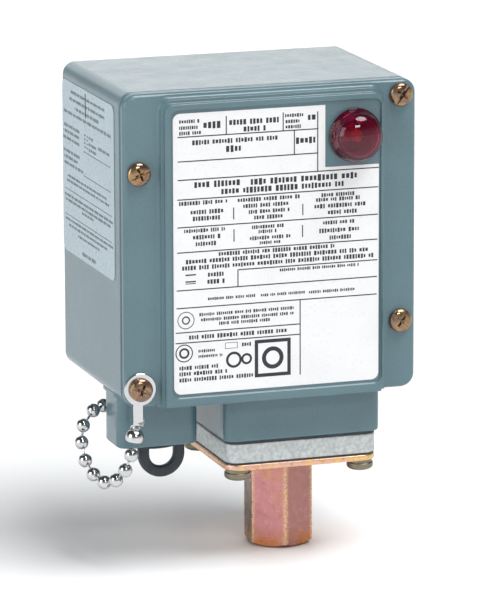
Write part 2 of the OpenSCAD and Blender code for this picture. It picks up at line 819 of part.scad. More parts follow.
// Each terminal: screw and the square wire clamp under its head
module terminal_screws() {
    clamp_t = 1.2;
    color(brass) for (x = terminal_x, z = terminal_z) {
        pan_head_y([x, z], case_y0 - clamp_t, 3.3, 2.4);
        rod_y([x, z], case_y0 - clamp_t, case_y0 + 3.5, 1.45);
        difference() {
            block(x - 3.9, x + 3.9, case_y0 - clamp_t, case_y0, z - 3.9, z + 3.9);
            rod_y([x, z], case_y0 - 2, case_y0 + 1, 1.45);
        }
    }
}

module switch_mount_screws() {
    color(nickel) for (z = switch_screw_z) {
        pan_head_y([plunger_x, z], case_y0, 3, 2.2);
        rod_y([plunger_x, z], case_y0, plate_y1, switch_screw_r - running);
    }
}

module ground_screw() {
    color("#3f8a4a") {
        pan_head_y(ground_at, ground_y, 3.9, 2.6);
        rod_y(ground_at, ground_y, inner_y + 1, post_tap_r - running);
    }
}

// One bead with the wire link that reaches to the next one
module bead(i) {
    at = beads[i];
    last = i == len(beads) - 1;
    next = last ? rear_cup : beads[i + 1];
    way = (next - at) / norm(next - at);
    reach = norm(next - at) - (last ? cup_r : bead_d / 2) - link_gap;
    color(nickel) {
        translate(at) sphere(bead_d / 2, $fn = 32);
        bar(at, at + way * reach, link_r);
    }
}

enclosure();
cover();
cover_gasket();
cover_screws();
rating_label();
side_label();
pilot_lens();
lens_gasket();
lamp_socket();
socket_nut();
neon_lamp();
lamp_leads();
front_eyelet();
rear_eyelet();
anchor_screw();
conduit_plug();
actuator_gasket();
actuator_housing();
diaphragm();
flange_plate();
pressure_port();
flange_screws();
flange_lockwashers();
piston();
push_rod();
rod_guide();
mechanism_frame();
frame_screws();
operating_lever();
lever_pin();
pin_clip();
range_spring();
range_nut();
range_screw();
range_scale();
differential_spring();
differential_nut();
differential_screw();
switch_case();
switch_plunger();
contact_bridge();
fixed_contacts();
terminal_screws();
switch_mount_screws();
ground_screw();
bead(0);  // bead_01
bead(1);  // bead_02
bead(2);  // bead_03
bead(3);  // bead_04
bead(4);  // bead_05
bead(5);  // bead_06
bead(6);  // bead_07
bead(7);  // bead_08
bead(8);  // bead_09
bead(9);  // bead_10
bead(10);  // bead_11
bead(11);  // bead_12
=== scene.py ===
"""Diaphragm pressure switch: the detailed pieces, their finishes, the floor, the lights and the camera."""

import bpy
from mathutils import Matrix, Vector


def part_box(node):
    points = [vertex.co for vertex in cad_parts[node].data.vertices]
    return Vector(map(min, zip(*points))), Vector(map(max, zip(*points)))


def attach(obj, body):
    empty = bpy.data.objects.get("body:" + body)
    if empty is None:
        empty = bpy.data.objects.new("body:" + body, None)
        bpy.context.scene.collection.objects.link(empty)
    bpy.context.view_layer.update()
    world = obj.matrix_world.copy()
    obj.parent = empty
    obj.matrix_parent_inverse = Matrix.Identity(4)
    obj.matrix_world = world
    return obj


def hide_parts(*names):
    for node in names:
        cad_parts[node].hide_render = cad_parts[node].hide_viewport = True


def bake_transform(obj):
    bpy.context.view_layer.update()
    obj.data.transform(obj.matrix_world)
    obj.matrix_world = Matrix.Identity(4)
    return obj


bl_info = {
    "name": "Diaphragm Pressure Switch",
    "version": (1, 0, 0),
    "blender": (4, 5, 0),
    "location": "3D View > Sidebar > Pressure Switch",
    "description": "Cast enclosure with pilot light, ball chain and pressure end",
    "category": "Add Mesh",
}

import math

import bpy
import numpy as np
from mathutils import Quaternion, Vector

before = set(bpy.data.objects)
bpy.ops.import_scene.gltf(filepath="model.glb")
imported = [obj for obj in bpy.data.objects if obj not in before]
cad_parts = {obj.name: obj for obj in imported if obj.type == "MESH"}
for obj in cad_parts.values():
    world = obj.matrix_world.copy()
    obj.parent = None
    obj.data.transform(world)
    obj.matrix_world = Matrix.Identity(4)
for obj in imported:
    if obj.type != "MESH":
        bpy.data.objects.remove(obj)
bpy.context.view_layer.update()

MM = 0.001
TURN = 2 * math.pi
CORNER_STEPS = 8
EDGE_STEPS = 5


def span(node):
    """Lowest and highest corner of a CAD node, in millimetres."""
    lo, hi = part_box(node)
    return np.array(lo) / MM, np.array(hi) / MM


CASE_LO, CASE_HI = span("enclosure")
COVER_LO, COVER_HI = span("cover")
BLOCK_LO, BLOCK_HI = span("actuator_housing")
PLATE_LO, PLATE_HI = span("flange_plate")
PORT_LO, PORT_HI = span("pressure_port")
LENS_LO, LENS_HI = span("pilot_lens")
LABEL_LO, LABEL_HI = span("rating_label")
SIDE_LO, SIDE_HI = span("side_label")
SCREWS_HI = span("cover_screws")[1]

HALF_W, HALF_H = -CASE_LO[0], CASE_HI[2]
SEAM_Y = CASE_LO[1]
FLANGE_Y = -74.5
ACTUATOR = (PORT_LO[:2] + PORT_HI[:2]) / 2
LAMP = (LENS_LO + LENS_HI)[[0, 2]] / 2
HUB_BOX = (-51.2, -21.6, -59.8, -31.0)
HUB_CENTRE = (-36.4, -45.8)
HUB_Z = CASE_LO[2]
NECK_BOX = (-14.5, 43.5, -68.8, -10.8)
COVER_SCREWS = ((-48.1, 27.4), (48.1, 49.8), (48.1, -31.2), (-48.1, -48.9))
FLANGE_SCREWS = [ACTUATOR + (x, y) for x in (-23, 23) for y in (-23, 23)]
BEADS = np.array([
    (-50.5, -71.5, -73), (-52, -69, -79), (-54, -64.5, -83.5), (-56.5, -58.5, -85.5),
    (-58.5, -52, -84), (-60, -47, -80), (-60.5, -44.5, -74), (-58.5, -40, -69),
    (-54, -37.5, -64.5), (-49, -33.5, -64), (-44, -29, -63), (-40, -24.5, -60.5),
])
FRONT_CUP = np.array((-49.5, -72.5, -66.5))
REAR_CUP = np.array((-36.8, -19.8, -58.4))
ANCHOR = (-32, -12)
BACK_HOLES = [(x, z) for x in (-38, 38) for z in (-41, 41)]
BEAD_R = 2.5
REAR_CUP_R = 2.85
HEXAGON_TURN = math.radians(24)
# Painted shade of the hexagon's six facets, one amount for each, as the light falls on them
FACET_PAINTED_SHADES = (0.6, 0.3, 0.0, 0.5, 1.0, 0.4)


# ---------------------------------------------------------------- surfaces


def outline(box, radii, inset=0.0):
    """Points round a rectangle (u0, u1, v0, v1) whose corners are quarter circles of the four radii,
    with the whole outline drawn in by inset. A negative inset lets it out."""
    u0, u1, v0, v1 = box[0] + inset, box[1] - inset, box[2] + inset, box[3] - inset
    r = np.maximum(np.asarray(radii, float) * np.ones(4) - inset, 0.05)
    middle = np.array([(u0 + r[0], v0 + r[0]), (u1 - r[1], v0 + r[1]),
                       (u1 - r[2], v1 - r[2]), (u0 + r[3], v1 - r[3])])
    angle = (np.array([2, 3, 0, 1])[:, None] + np.linspace(0, 1, CORNER_STEPS + 1)) * math.pi / 2
    way = np.stack([np.cos(angle), np.sin(angle)], -1)
    return (middle[:, None] + r[:, None, None] * way).reshape(-1, 2)


def circle(centre, radius, n=64):
    """n points at the radius from the centre."""
    a = np.linspace(0, TURN, n, endpoint=False)
    return np.asarray(centre) + radius * np.stack([np.cos(a), np.sin(a)], -1)


def drawn_to_circle(points, centre, radius):
    """Each point moved along its own ray from the centre, to the radius."""
    d = points - np.asarray(centre)
    return np.asarray(centre) + radius * d / np.linalg.norm(d, axis=1, keepdims=True)


def place(axis, flat, height):
    """A flat outline stood across an axis: (u, v) and a height become x, y and z."""
    h = np.broadcast_to(np.asarray(height, float), len(flat))
    u, v = flat[:, 0], flat[:, 1]
    return np.stack({"x": (h, u, v), "y": (u, h, v), "z": (u, v, h)}[axis], -1)


def loft(axis, box, radii, path):
    """One ring for each (height, inset) of the path: the outline drawn in by the inset, at the height."""
    return [place(axis, outline(box, radii, inset), h) for h, inset in path]


def revolve(axis, centre, profile, n=64):
    """One circle for each (height, radius) of the profile, round an axis through the centre."""
    return [place(axis, circle(centre, max(r, 0.01), n), h) for h, r in profile]


def turned_edge(height, radius, side, closing):
    """A quarter circle of the radius between the wall and the end face at the height. side is +1 where the
    solid lies below the height and -1 where it lies above; closing runs from the wall to the face."""
    a = np.linspace(math.pi / 2, 0, EDGE_STEPS + 1)
    if not closing:
        a = a[::-1]
    return [(height - side * radius * (1 - math.cos(t)), radius * (1 - math.sin(t))) for t in a]


def foot_fillet(height, radius, side, closing):
    """A hollow quarter circle between the wall and the face that it stands on, at the height. side is +1
    where the wall rises from that face and -1 where it hangs from it."""
    a = np.linspace(0, math.pi / 2, EDGE_STEPS + 1)
    if closing:
        a = a[::-1]
    return [(height + side * radius * (1 - math.cos(t)), radius * (math.sin(t) - 1)) for t in a]


def frames_along(path):
    """Two normals at each point of a path, carried from point to point so that they turn as little as
    the path allows."""
    t = np.gradient(path, axis=0)
    t /= np.linalg.norm(t, axis=1, keepdims=True)
    n = np.cross(t[0], (0.0, 0.0, 1.0) if abs(t[0][2]) < 0.9 else (1.0, 0.0, 0.0))
    normals = []
    for tangent in t:
        n = n - tangent * np.dot(n, tangent)
        n = n / np.linalg.norm(n)
        normals.append(n)
    normals = np.array(normals)
    return normals, np.cross(t, normals)


def tube(path, radius, n=12):
    """A round section of the radius, or of one radius for each point, carried along the path."""
    path = np.asarray(path, float)
    n1, n2 = frames_along(path)
    a = np.linspace(0, TURN, n, endpoint=False)
    r = np.broadcast_to(np.asarray(radius, float), len(path))[:, None, None]
    ring = np.cos(a)[None, :, None] * n1[:, None] + np.sin(a)[None, :, None] * n2[:, None]
    return path[:, None] + r * ring


def band(path, section, across):
    """A flat section (along the band's width, through its thickness) carried along the path. across is
    the direction of the width, one for each point or one for all."""
    path = np.asarray(path, float)
    across = np.broadcast_to(np.asarray(across, float), path.shape)
    t = np.gradient(path, axis=0)
    t /= np.linalg.norm(t, axis=1, keepdims=True)
    through = np.cross(t, across)
    through /= np.linalg.norm(through, axis=1, keepdims=True)
    width = np.cross(through, t)
    return path[:, None] + section[None, :, :1] * width[:, None] + section[None, :, 1:] * through[:, None]


def smooth_path(points, n):
    """n points along the curve through the given points, each stretch a cubic whose slope at a point
    is half the step between its neighbours."""
    p = np.asarray(points, float)
    p = np.vstack([2 * p[0] - p[1], p, 2 * p[-1] - p[-2]])
    s = np.linspace(0, len(p) - 3, n)
    i = np.minimum(s.astype(int), len(p) - 4)
    f = (s - i)[:, None]
    a, b, c, d = p[i], p[i + 1], p[i + 2], p[i + 3]
    return 0.5 * (2 * b + (c - a) * f + (2 * a - 5 * b + 4 * c - d) * f**2 + (3 * b - a - 3 * c + d) * f**3)


def volume_of(points, quads, caps):
    """Signed volume inside the faces: a sixth of the sum, over their triangles, of the triple product."""
    tris = np.vstack([quads[:, [0, 1, 2]], quads[:, [0, 2, 3]]])
    for cap in caps:
        fan = np.stack([np.full(len(cap) - 2, cap[0]), cap[1:-1], cap[2:]], -1)
        tris = np.vstack([tris, fan])
    a, b, c = (points[tris[:, k]] for k in range(3))
    return np.einsum("ij,ij->", a, np.cross(b, c)) / 6


class Solid:
    """Closed surfaces in millimetres that become one mesh. Each has the number of its finish."""

    def __init__(self):
        self.points, self.faces, self.finish = [], [], []
        self.count = 0

    def add(self, points, quads, caps, finish):
        """Adds one closed surface, turned so that its faces point outwards."""
        flip = -1 if volume_of(points, quads, caps) < 0 else 1
        faces = [*quads[:, ::flip], *(np.asarray(c)[::flip] for c in caps)]
        self.faces += [(f + self.count).tolist() for f in faces]
        self.finish += [finish] * len(faces)
        self.points.append(points)
        self.count += len(points)
        return self

    def skin(self, rings, finish=0, closed=False):
        """Joins each ring of points to the next. The first and the last are closed by a flat face, or
        joined to each other if closed."""
        rings = np.asarray(rings, float)
        rows, columns = rings.shape[:2]
        index = np.arange(rows * columns).reshape(rows, columns)
        caps = [] if closed else [index[0][::-1], index[-1]]
        if closed:
            index = np.vstack([index, index[:1]])
        a, b = index[:-1], index[1:]
        quads = np.stack([a, np.roll(a, -1, 1), np.roll(b, -1, 1), b], -1).reshape(-1, 4)
        return self.add(rings.reshape(-1, 3), quads, caps, finish)

    def boxes(self, lo, hi, finish=0):
        """One closed box for each row of lowest and highest corners."""
        lo, hi = np.atleast_2d(lo).astype(float), np.atleast_2d(hi).astype(float)
        pick = np.array([(0, 0, 0), (1, 0, 0), (1, 1, 0), (0, 1, 0),
                         (0, 0, 1), (1, 0, 1), (1, 1, 1), (0, 1, 1)])
        points = (lo[:, None] + (hi - lo)[:, None] * pick).reshape(-1, 3)
        face = np.array([(0, 3, 2, 1), (4, 5, 6, 7), (0, 1, 5, 4), (1, 2, 6, 5), (2, 3, 7, 6), (3, 0, 4, 7)])
        quads = (face[None] + 8 * np.arange(len(lo))[:, None, None]).reshape(-1, 4)
        return self.add(points, quads, [], finish)

    def rod(self, axis, centre, h0, h1, radius, bevel=0.0, n=48):
        """A round bar with its two edges cut back by the bevel."""
        profile = [(h0, radius - bevel), (h0 + bevel, radius), (h1 - bevel, radius), (h1, radius - bevel)]
        if bevel == 0:
            profile = [profile[0], profile[3]]
        return self.skin(revolve(axis, centre, profile, n))

    def mesh(self, name):
        """The collected surfaces as a mesh in metres."""
        made = bpy.data.meshes.new(name)
        made.from_pydata((np.vstack(self.points) * MM).tolist(), [], self.faces)
        made.polygons.foreach_set("material_index", np.array(self.finish, np.int32))
        return made


def carved(mesh, tools, self_cut=False):
    """The mesh with the tools' solids taken away from it by the exact solver."""
    host = bpy.data.objects.new("host", mesh)
    tool = bpy.data.objects.new("tool", tools)
    for o in (host, tool):
        bpy.context.scene.collection.objects.link(o)
    step = host.modifiers.new("carve", "BOOLEAN")
    step.object, step.operation, step.solver, step.use_self = tool, "DIFFERENCE", "EXACT", self_cut
    bpy.context.view_layer.update()
    graph = bpy.context.evaluated_depsgraph_get()
    made = bpy.data.meshes.new_from_object(host.evaluated_get(graph))
    if not len(made.polygons):
        raise RuntimeError(f"{mesh.name}: nothing was left after the cut")
    for o in (host, tool):
        bpy.data.objects.remove(o)
    return made


def finished(name, mesh, body, finishes, replaces=(), sharp=32):
    """A piece from the mesh: smooth up to the sharp angle in degrees, on its body, with its finishes. With no
    body it is left free."""
    mesh.name = name
    for f in finishes:
        mesh.materials.append(f)
    mesh.polygons.foreach_set("use_smooth", np.ones(len(mesh.polygons), bool))
    mesh.set_sharp_from_angle(angle=math.radians(sharp))
    piece = bpy.data.objects.new(name, mesh)
    bpy.context.scene.collection.objects.link(piece)
    if body:
        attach(piece, body)
    if replaces:
        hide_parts(*replaces)
    return piece


def shade_by_corner(piece):
    """Weighted normals, so that narrow rounded edges catch the light and flat faces stay flat."""
    step = piece.modifiers.new("weighted", "WEIGHTED_NORMAL")
    step.keep_sharp = True
    step.weight = 80


# ---------------------------------------------------------------- finishes


class Paints:
    """One material under way: its shader and short calls that add a node and join it."""

    def __init__(self, name, colour, rough, metal=0.0, **sockets):
        self.material = bpy.data.materials.new(name)
        self.material.use_nodes = True
        self.tree = self.material.node_tree
        self.shader = next(n for n in self.tree.nodes if n.type == "BSDF_PRINCIPLED")
        self.set("Base Color", (*colour[:3], 1.0))
        self.set("Roughness", rough)
        self.set("Metallic", metal)
        for socket, value in sockets.items():
            self.set(socket.replace("_", " "), value)
        self.where = self.tree.nodes.new("ShaderNodeTexCoord").outputs["Object"]

    def set(self, socket, value):
        self.shader.inputs[socket].default_value = value

    def join(self, output, socket):
        self.tree.links.new(output, self.shader.inputs[socket])
        return self

    def node(self, kind, inputs=None, **settings):
        made = self.tree.nodes.new(kind)
        for key, value in settings.items():
            setattr(made, key, value)
        for key, value in (inputs or {}).items():
            if isinstance(value, bpy.types.NodeSocket):
                self.tree.links.new(value, made.inputs[key])
            else:
                made.inputs[key].default_value = value
        return made

    def stretched(self, scale):
        """The place on the piece, scaled along each axis."""
        return self.node("ShaderNodeMapping", {"Vector": self.where, "Scale": scale}).outputs[0]

    def noise(self, scale, detail=3.0, rough=0.55, where=None, distortion=0.0):
        """Soft clouds, with scale in cycles per metre."""
        return self.node("ShaderNodeTexNoise", {
            "Vector": where or self.where, "Scale": scale, "Detail": detail,
            "Roughness": rough, "Distortion": distortion}).outputs["Fac"]

    def cells(self, scale, feature="F1"):
        """Distance to the nearest of scattered points, with scale in cells per metre."""
        return self.node("ShaderNodeTexVoronoi", {"Vector": self.where, "Scale": scale},
                         feature=feature).outputs["Distance"]

    def ramp(self, value, low, high, a=0.0, b=1.0):
        """The value from low to high carried on to a to b, and held beyond."""
        return self.node("ShaderNodeMapRange", {
            "Value": value, "From Min": low, "From Max": high, "To Min": a, "To Max": b},
            interpolation_type="SMOOTHSTEP").outputs["Result"]

    def times(self, a, b):
        return self.node("ShaderNodeMath", {0: a, 1: b}, operation="MULTIPLY").outputs[0]

    def blend(self, share, a, b):
        """Colour a where the share is 0 and colour b where it is 1."""
        made = self.node("ShaderNodeMix", data_type="RGBA")
        for key, value in ((0, share), (6, a), (7, b)):
            if isinstance(value, bpy.types.NodeSocket):
                self.tree.links.new(value, made.inputs[key])
            else:
                made.inputs[key].default_value = value if key == 0 else (*value[:3], 1.0)
        return made.outputs[2]

    def relief(self, height, distance, strength=1.0):
        """Bump of the height, whose full scale is the distance in metres."""
        bump = self.node("ShaderNodeBump", {"Height": height, "Distance": distance, "Strength": strength})
        if self.shader.inputs["Normal"].is_linked:
            self.tree.links.new(self.shader.inputs["Normal"].links[0].from_socket, bump.inputs["Normal"])
        return self.join(bump.outputs[0], "Normal")


def tint(colour, factor):
    return tuple(min(1.0, c * factor) for c in colour[:3])


def enamel(colour):
    """Sprayed enamel on a casting: slow change of tone, orange peel, dust specks and rubbed spots."""
    m = Paints("sprayed_enamel", colour, 0.34, IOR=1.5)
    slow = m.ramp(m.noise(28, 2), 0.3, 0.7)
    tone = m.blend(slow, tint(colour, 0.93), tint(colour, 1.08))
    grain = m.ramp(m.noise(1500, 2), 0.35, 0.7)
    tone = m.blend(m.times(grain, 0.22), tone, tint(colour, 1.35))
    specks = m.ramp(m.cells(420), 0.06, 0.1, 1, 0)
    tone = m.blend(m.times(specks, 0.12), tone, tint(colour, 0.45))
    m.join(tone, "Base Color")
    m.join(m.ramp(m.noise(90, 2), 0.3, 0.75, 0.20, 0.25), "Roughness")
    m.relief(m.noise(620, 2), 0.00008, 0.5)
    m.relief(m.noise(2600, 1), 0.00003, 0.5)
    return m.material


def rubber(colour):
    """Moulded rubber with bloom: dark, dull, with a paler dusty film in places."""
    m = Paints("moulded_rubber", colour, 0.5)
    dust = m.ramp(m.noise(160, 5), 0.45, 0.75)
    m.join(m.blend(m.times(dust, 0.5), colour, tint(colour, 2.6)), "Base Color")
    m.join(m.ramp(m.noise(500, 3), 0.3, 0.7, 0.38, 0.62), "Roughness")
    m.relief(m.noise(3200, 2), 0.00003, 0.6)
    return m.material


def chromate(name, base, gold, stain, streaks=0.0, rough=0.3, patch=70, stained=0.5, facets=False):
    """Zinc plate with yellow chromate: a pink ground that turns golden in clouds, with brown stains and,
    where it was turned or milled, fine lines that run along the axis. A piece with facets also gets painted
    shade on each facet, a darker or redder tone for how the light falls on it, and rubbed bright edges."""
    m = Paints(name, base, rough, metal=0.85)
    cloud = m.ramp(m.noise(patch, 4, 0.6, distortion=0.6), 0.4, 0.66)
    tone = m.blend(cloud, base, gold)
    old = m.times(m.ramp(m.noise(patch * 2.3, 5, 0.65, distortion=1.0), 0.52, 0.72), stained)
    tone = m.blend(old, tone, stain)
    fine = m.ramp(m.noise(2200, 2), 0.3, 0.75)
    tone = m.blend(m.times(fine, 0.25), tone, tint(base, 1.5))
    lines = m.noise(1.0, 3, 0.6, where=m.stretched((2600, 2600, 60)))
    tone = m.blend(m.times(m.ramp(lines, 0.35, 0.7), streaks), tone, tint(stain, 1.2))
    if facets:
        # Painted shade: each facet is darkened or reddened by its own amount, standing in for how light falls
        # on it
        side = m.node("ShaderNodeAttribute", attribute_name="facet").outputs["Fac"]
        tone = m.blend(m.ramp(side, 0.0, 0.5, 0.75, 0), tone, (0.11, 0.10, 0.055))
        tone = m.blend(m.ramp(side, 0.5, 1.0, 0, 0.8), tone, (0.34, 0.17, 0.15))
        mouth = m.node("ShaderNodeAttribute", attribute_name="mouth").outputs["Fac"]
        rust = m.times(mouth, m.ramp(m.noise(260, 4), 0.35, 0.6))
        tone = m.blend(rust, tone, (0.55, 0.20, 0.045))
        edge = m.node("ShaderNodeAttribute", attribute_name="worn").outputs["Fac"]
        rubbed = m.times(edge, m.ramp(m.noise(2600, 3), 0.35, 0.7))
        tone = m.blend(rubbed, tone, (0.9, 0.66, 0.33))
    m.join(tone, "Base Color")
    m.join(m.ramp(m.noise(400, 4), 0.3, 0.7, rough - 0.08, rough + 0.16), "Roughness")
    m.relief(lines, 0.00004, 0.25 + streaks)
    m.relief(m.noise(1100, 3), 0.00004, 0.4)
    return m.material


def metal(name, colour, rough, stretch=(900, 900, 900), wear=0.25):
    """Plain metal: a little darker and duller in clouds, with fine marks along the stretch."""
    m = Paints(name, colour, rough, metal=1.0)
    cloud = m.ramp(m.noise(130, 4), 0.35, 0.75)
    m.join(m.blend(m.times(cloud, wear), colour, tint(colour, 0.55)), "Base Color")
    marks = m.noise(1.0, 3, 0.6, where=m.stretched(stretch))
    m.join(m.ramp(marks, 0.25, 0.8, max(rough - 0.06, 0.03), rough + 0.12), "Roughness")
    m.relief(marks, 0.00002, 0.4)
    return m.material


def cast_zinc(colour):
    """Bare die casting: frosted crystals in patches, flow marks, dark pits and a dull film."""
    m = Paints("bare_zinc_casting", colour, 0.42, metal=0.35)
    patches = m.ramp(m.cells(760, "SMOOTH_F1"), 0.15, 0.75)
    tone = m.blend(patches, tint(colour, 1.12), tint(colour, 0.84))
    flow = m.ramp(m.noise(1.0, 4, 0.6, where=m.stretched((240, 240, 90)), distortion=0.8), 0.45, 0.7)
    tone = m.blend(m.times(flow, 0.3), tone, tint(colour, 0.7))
    pits = m.ramp(m.cells(700), 0.1, 0.17, 1, 0)
    tone = m.blend(m.times(pits, 0.55), tone, tint(colour, 0.3))
    m.join(tone, "Base Color")
    m.join(m.ramp(m.noise(600, 3), 0.3, 0.7, 0.3, 0.6), "Roughness")
    m.relief(m.noise(900, 4), 0.00012, 0.5)
    m.relief(pits, 0.00008, -0.5)
    return m.material


def paper(name, colour):
    """Coated label stock: nearly even, a faint mottle and a soft sheen."""
    m = Paints(name, colour, 0.3)
    m.join(m.blend(m.ramp(m.noise(60, 3), 0.35, 0.7), colour, tint(colour, 0.965)), "Base Color")
    m.join(m.ramp(m.noise(900, 2), 0.3, 0.7, 0.26, 0.4), "Roughness")
    m.relief(m.noise(140, 2), 0.00006, 0.25)
    return m.material


def ink(name, colour):
    """Printing ink, thinner in places."""
    m = Paints(name, colour, 0.4)
    m.join(m.blend(m.ramp(m.noise(1400, 3), 0.5, 0.8, 0, 0.5), colour, tint(colour, 2.5)), "Base Color")
    m.relief(m.noise(2500, 1), 0.00001, 0.3)
    return m.material


def moulding(name, colour, rough):
    """Moulded plastic with a fine sparkled grain and faint flow clouds."""
    grain = 1600
    m = Paints(name, colour, rough)
    m.join(m.blend(m.ramp(m.noise(90, 4), 0.4, 0.7), colour, tint(colour, 1.3)), "Base Color")
    m.join(m.ramp(m.noise(grain, 3), 0.3, 0.7, rough - 0.1, rough + 0.12), "Roughness")
    m.relief(m.noise(grain, 2), 0.00003, 0.4)
    return m.material


def lens_plastic(colour):
    """Clear red moulded lens: light goes through it, with a little haze and fine scuffs outside."""
    m = Paints("red_lens_plastic", colour, 0.04, IOR=1.49, Transmission_Weight=0.9)
    m.join(m.blend(m.ramp(m.noise(120, 3), 0.35, 0.7), colour, tint(colour, 0.7)), "Base Color")
    m.join(m.ramp(m.noise(700, 3), 0.45, 0.8, 0.02, 0.08), "Roughness")
    m.relief(m.noise(260, 2), 0.00004, 0.2)
    return m.material


def lamp_glass(colour):
    """Neon lamp: orange glass with a darker electrode shade and a weak glow of its own."""
    m = Paints("neon_lamp_glass", colour, 0.12, Coat_Weight=0.8, Emission_Strength=0.25)
    tone = m.blend(m.ramp(m.noise(520, 2), 0.4, 0.65), colour, (0.45, 0.05, 0.02))
    m.join(tone, "Base Color").join(tone, "Emission Color")
    return m.material


# ---------------------------------------------------------------- settings


def millimetres(name, description, default):
    return bpy.props.FloatProperty(name=name, description=description, default=default * MM, min=0.0,
                                   precision=5, unit="LENGTH", subtype="DISTANCE")


def colour_of(name, description, default):
    return bpy.props.FloatVectorProperty(name=name, description=description, default=default, size=3,
                                         min=0.0, max=1.0, subtype="COLOR")


class PressureSwitchSizes(bpy.types.PropertyGroup):
    """Small roundings, slots and thicknesses of the detailed pieces."""

    back_edge: millimetres("Back edge", "Rounding of the enclosure's back edge", 2.0)
    cover_edge: millimetres("Cover edge", "Rounding of the front edge of the cover's flange", 1.7)
    panel_fillet: millimetres("Panel fillet", "Hollow curve from the flange up to the raised panel", 1.5)
    hub_fillet: millimetres("Hub fillet", "Hollow curve between the hub or neck and the enclosure", 1.0)
    casting_edge: millimetres("Casting edge", "Rounding of the lower edges of the hub and neck", 0.8)
    slot_width: millimetres("Slot width", "Width of the slot in the cover screws", 1.15)
    slot_depth: millimetres("Slot depth", "Depth of the slot in the cover screws", 1.0)
    bead_hole: millimetres("Bead hole", "Radius of the two holes of a chain bead", 0.62)
    wire_radius: millimetres("Chain wire", "Radius of the wire between two chain beads", 0.42)
    ink_height: millimetres("Ink height", "How far the print stands above the label", 0.02)
    plate_edge: millimetres("Plate edge", "Rounding of the clamp plate's edges", 0.6)
    hexagon_corner: millimetres("Hexagon corner", "Rounding of the connector's six corners", 0.35)


class PressureSwitchColours(bpy.types.PropertyGroup):
    """Base colours of the finishes."""

    enamel: colour_of("Enamel", "Grey-blue enamel of the enclosure and cover", (0.104, 0.178, 0.204))
    paper: colour_of("Label", "Printed rating label", (0.84, 0.845, 0.85))
    side_paper: colour_of("Side label", "Printed label on the side", (0.40, 0.49, 0.54))
    ink: colour_of("Ink", "Print on the rating label", (0.02, 0.022, 0.03))
    side_ink: colour_of("Side ink", "Print on the side label", (0.05, 0.07, 0.09))
    lens: colour_of("Lens", "Clear red lens of the pilot light", (0.46, 0.006, 0.08))
    lamp: colour_of("Lamp", "Glass of the neon lamp", (0.95, 0.24, 0.06))
    zinc: colour_of("Zinc", "Bare die casting of the pressure end", (0.55, 0.58, 0.58))
    nickel: colour_of("Nickel", "Bright nickel plate of the chain", (0.64, 0.64, 0.65))
    steel: colour_of("Steel", "Machined steel inside", (0.52, 0.53, 0.55))
    rubber: colour_of("Rubber", "Gaskets and transit plug", (0.022, 0.03, 0.038))


# ---------------------------------------------------------------- pieces


def case_mesh(sizes):
    """Box with a rounded back edge, hollow from the front; hub and neck hang from its floor on hollow
    curves; round bosses stand inside it. The bores and the four tapped holes are then taken away."""
    back, cast, foot = sizes.back_edge / MM, sizes.casting_edge / MM, sizes.hub_fillet / MM
    wall, rim = 3.6, 0.7
    box = (-HALF_W, HALF_W, -HALF_H, HALF_H)
    made = Solid()
    made.skin(loft("y", box, 4.5, [
        *turned_edge(0, back, 1, False), *turned_edge(SEAM_Y, rim, -1, True),
        (SEAM_Y, wall - 0.3), (SEAM_Y + 0.3, wall), (-7, wall), (-5, wall + 2)]))
    hang = [(-54, -foot), *foot_fillet(-HALF_H, foot, -1, False)]
    made.skin(loft("z", HUB_BOX, (4, 4, 14.8, 14.8), [*hang, *turned_edge(HUB_Z, cast, -1, True)]))
    neck_z = BLOCK_HI[2] + 1
    made.skin(loft("z", NECK_BOX, 4, [*hang, *turned_edge(neck_z, cast, -1, True)]))
    for at in COVER_SCREWS:
        made.rod("y", at, SEAM_Y + 0.02, SEAM_Y + 16, 5.1)
    for at in ((-33, -38), (-33, 26), (43, 24), (33, -22)):
        made.rod("y", at, -11, -4, 5, 0.3)
    for at in BACK_HOLES:
        made.rod("y", at, -10.8, -4, 6, 0.3)
    made.rod("y", (-45, -25), -17, -4, 5, 0.3)
    made.boxes((-37, -17, -54), (-27, -4, -47.65))
    holes = Solid()
    for at in BACK_HOLES:
        holes.skin(revolve("y", at, [(-9, 1.2), (-8.2, 2.02), (-0.5, 2.02), (0.3, 2.8)], 32))
    for at in COVER_SCREWS:
        holes.rod("y", at, SEAM_Y - 1, SEAM_Y + 15, 1.75, n=24)
    holes.skin(revolve("z", HUB_CENTRE, [
        (HUB_Z - 0.5, 10.2), (HUB_Z + 0.6, 9.13), (-50.6, 9.13)], 64))
    holes.rod("z", ACTUATOR, neck_z - 1, -50.6, 10)
    for at in FLANGE_SCREWS:
        holes.rod("z", at, neck_z - 1, neck_z + 11, 2.15, n=24)
    return carved(made.mesh("case"), holes.mesh("case_holes"), self_cut=True)


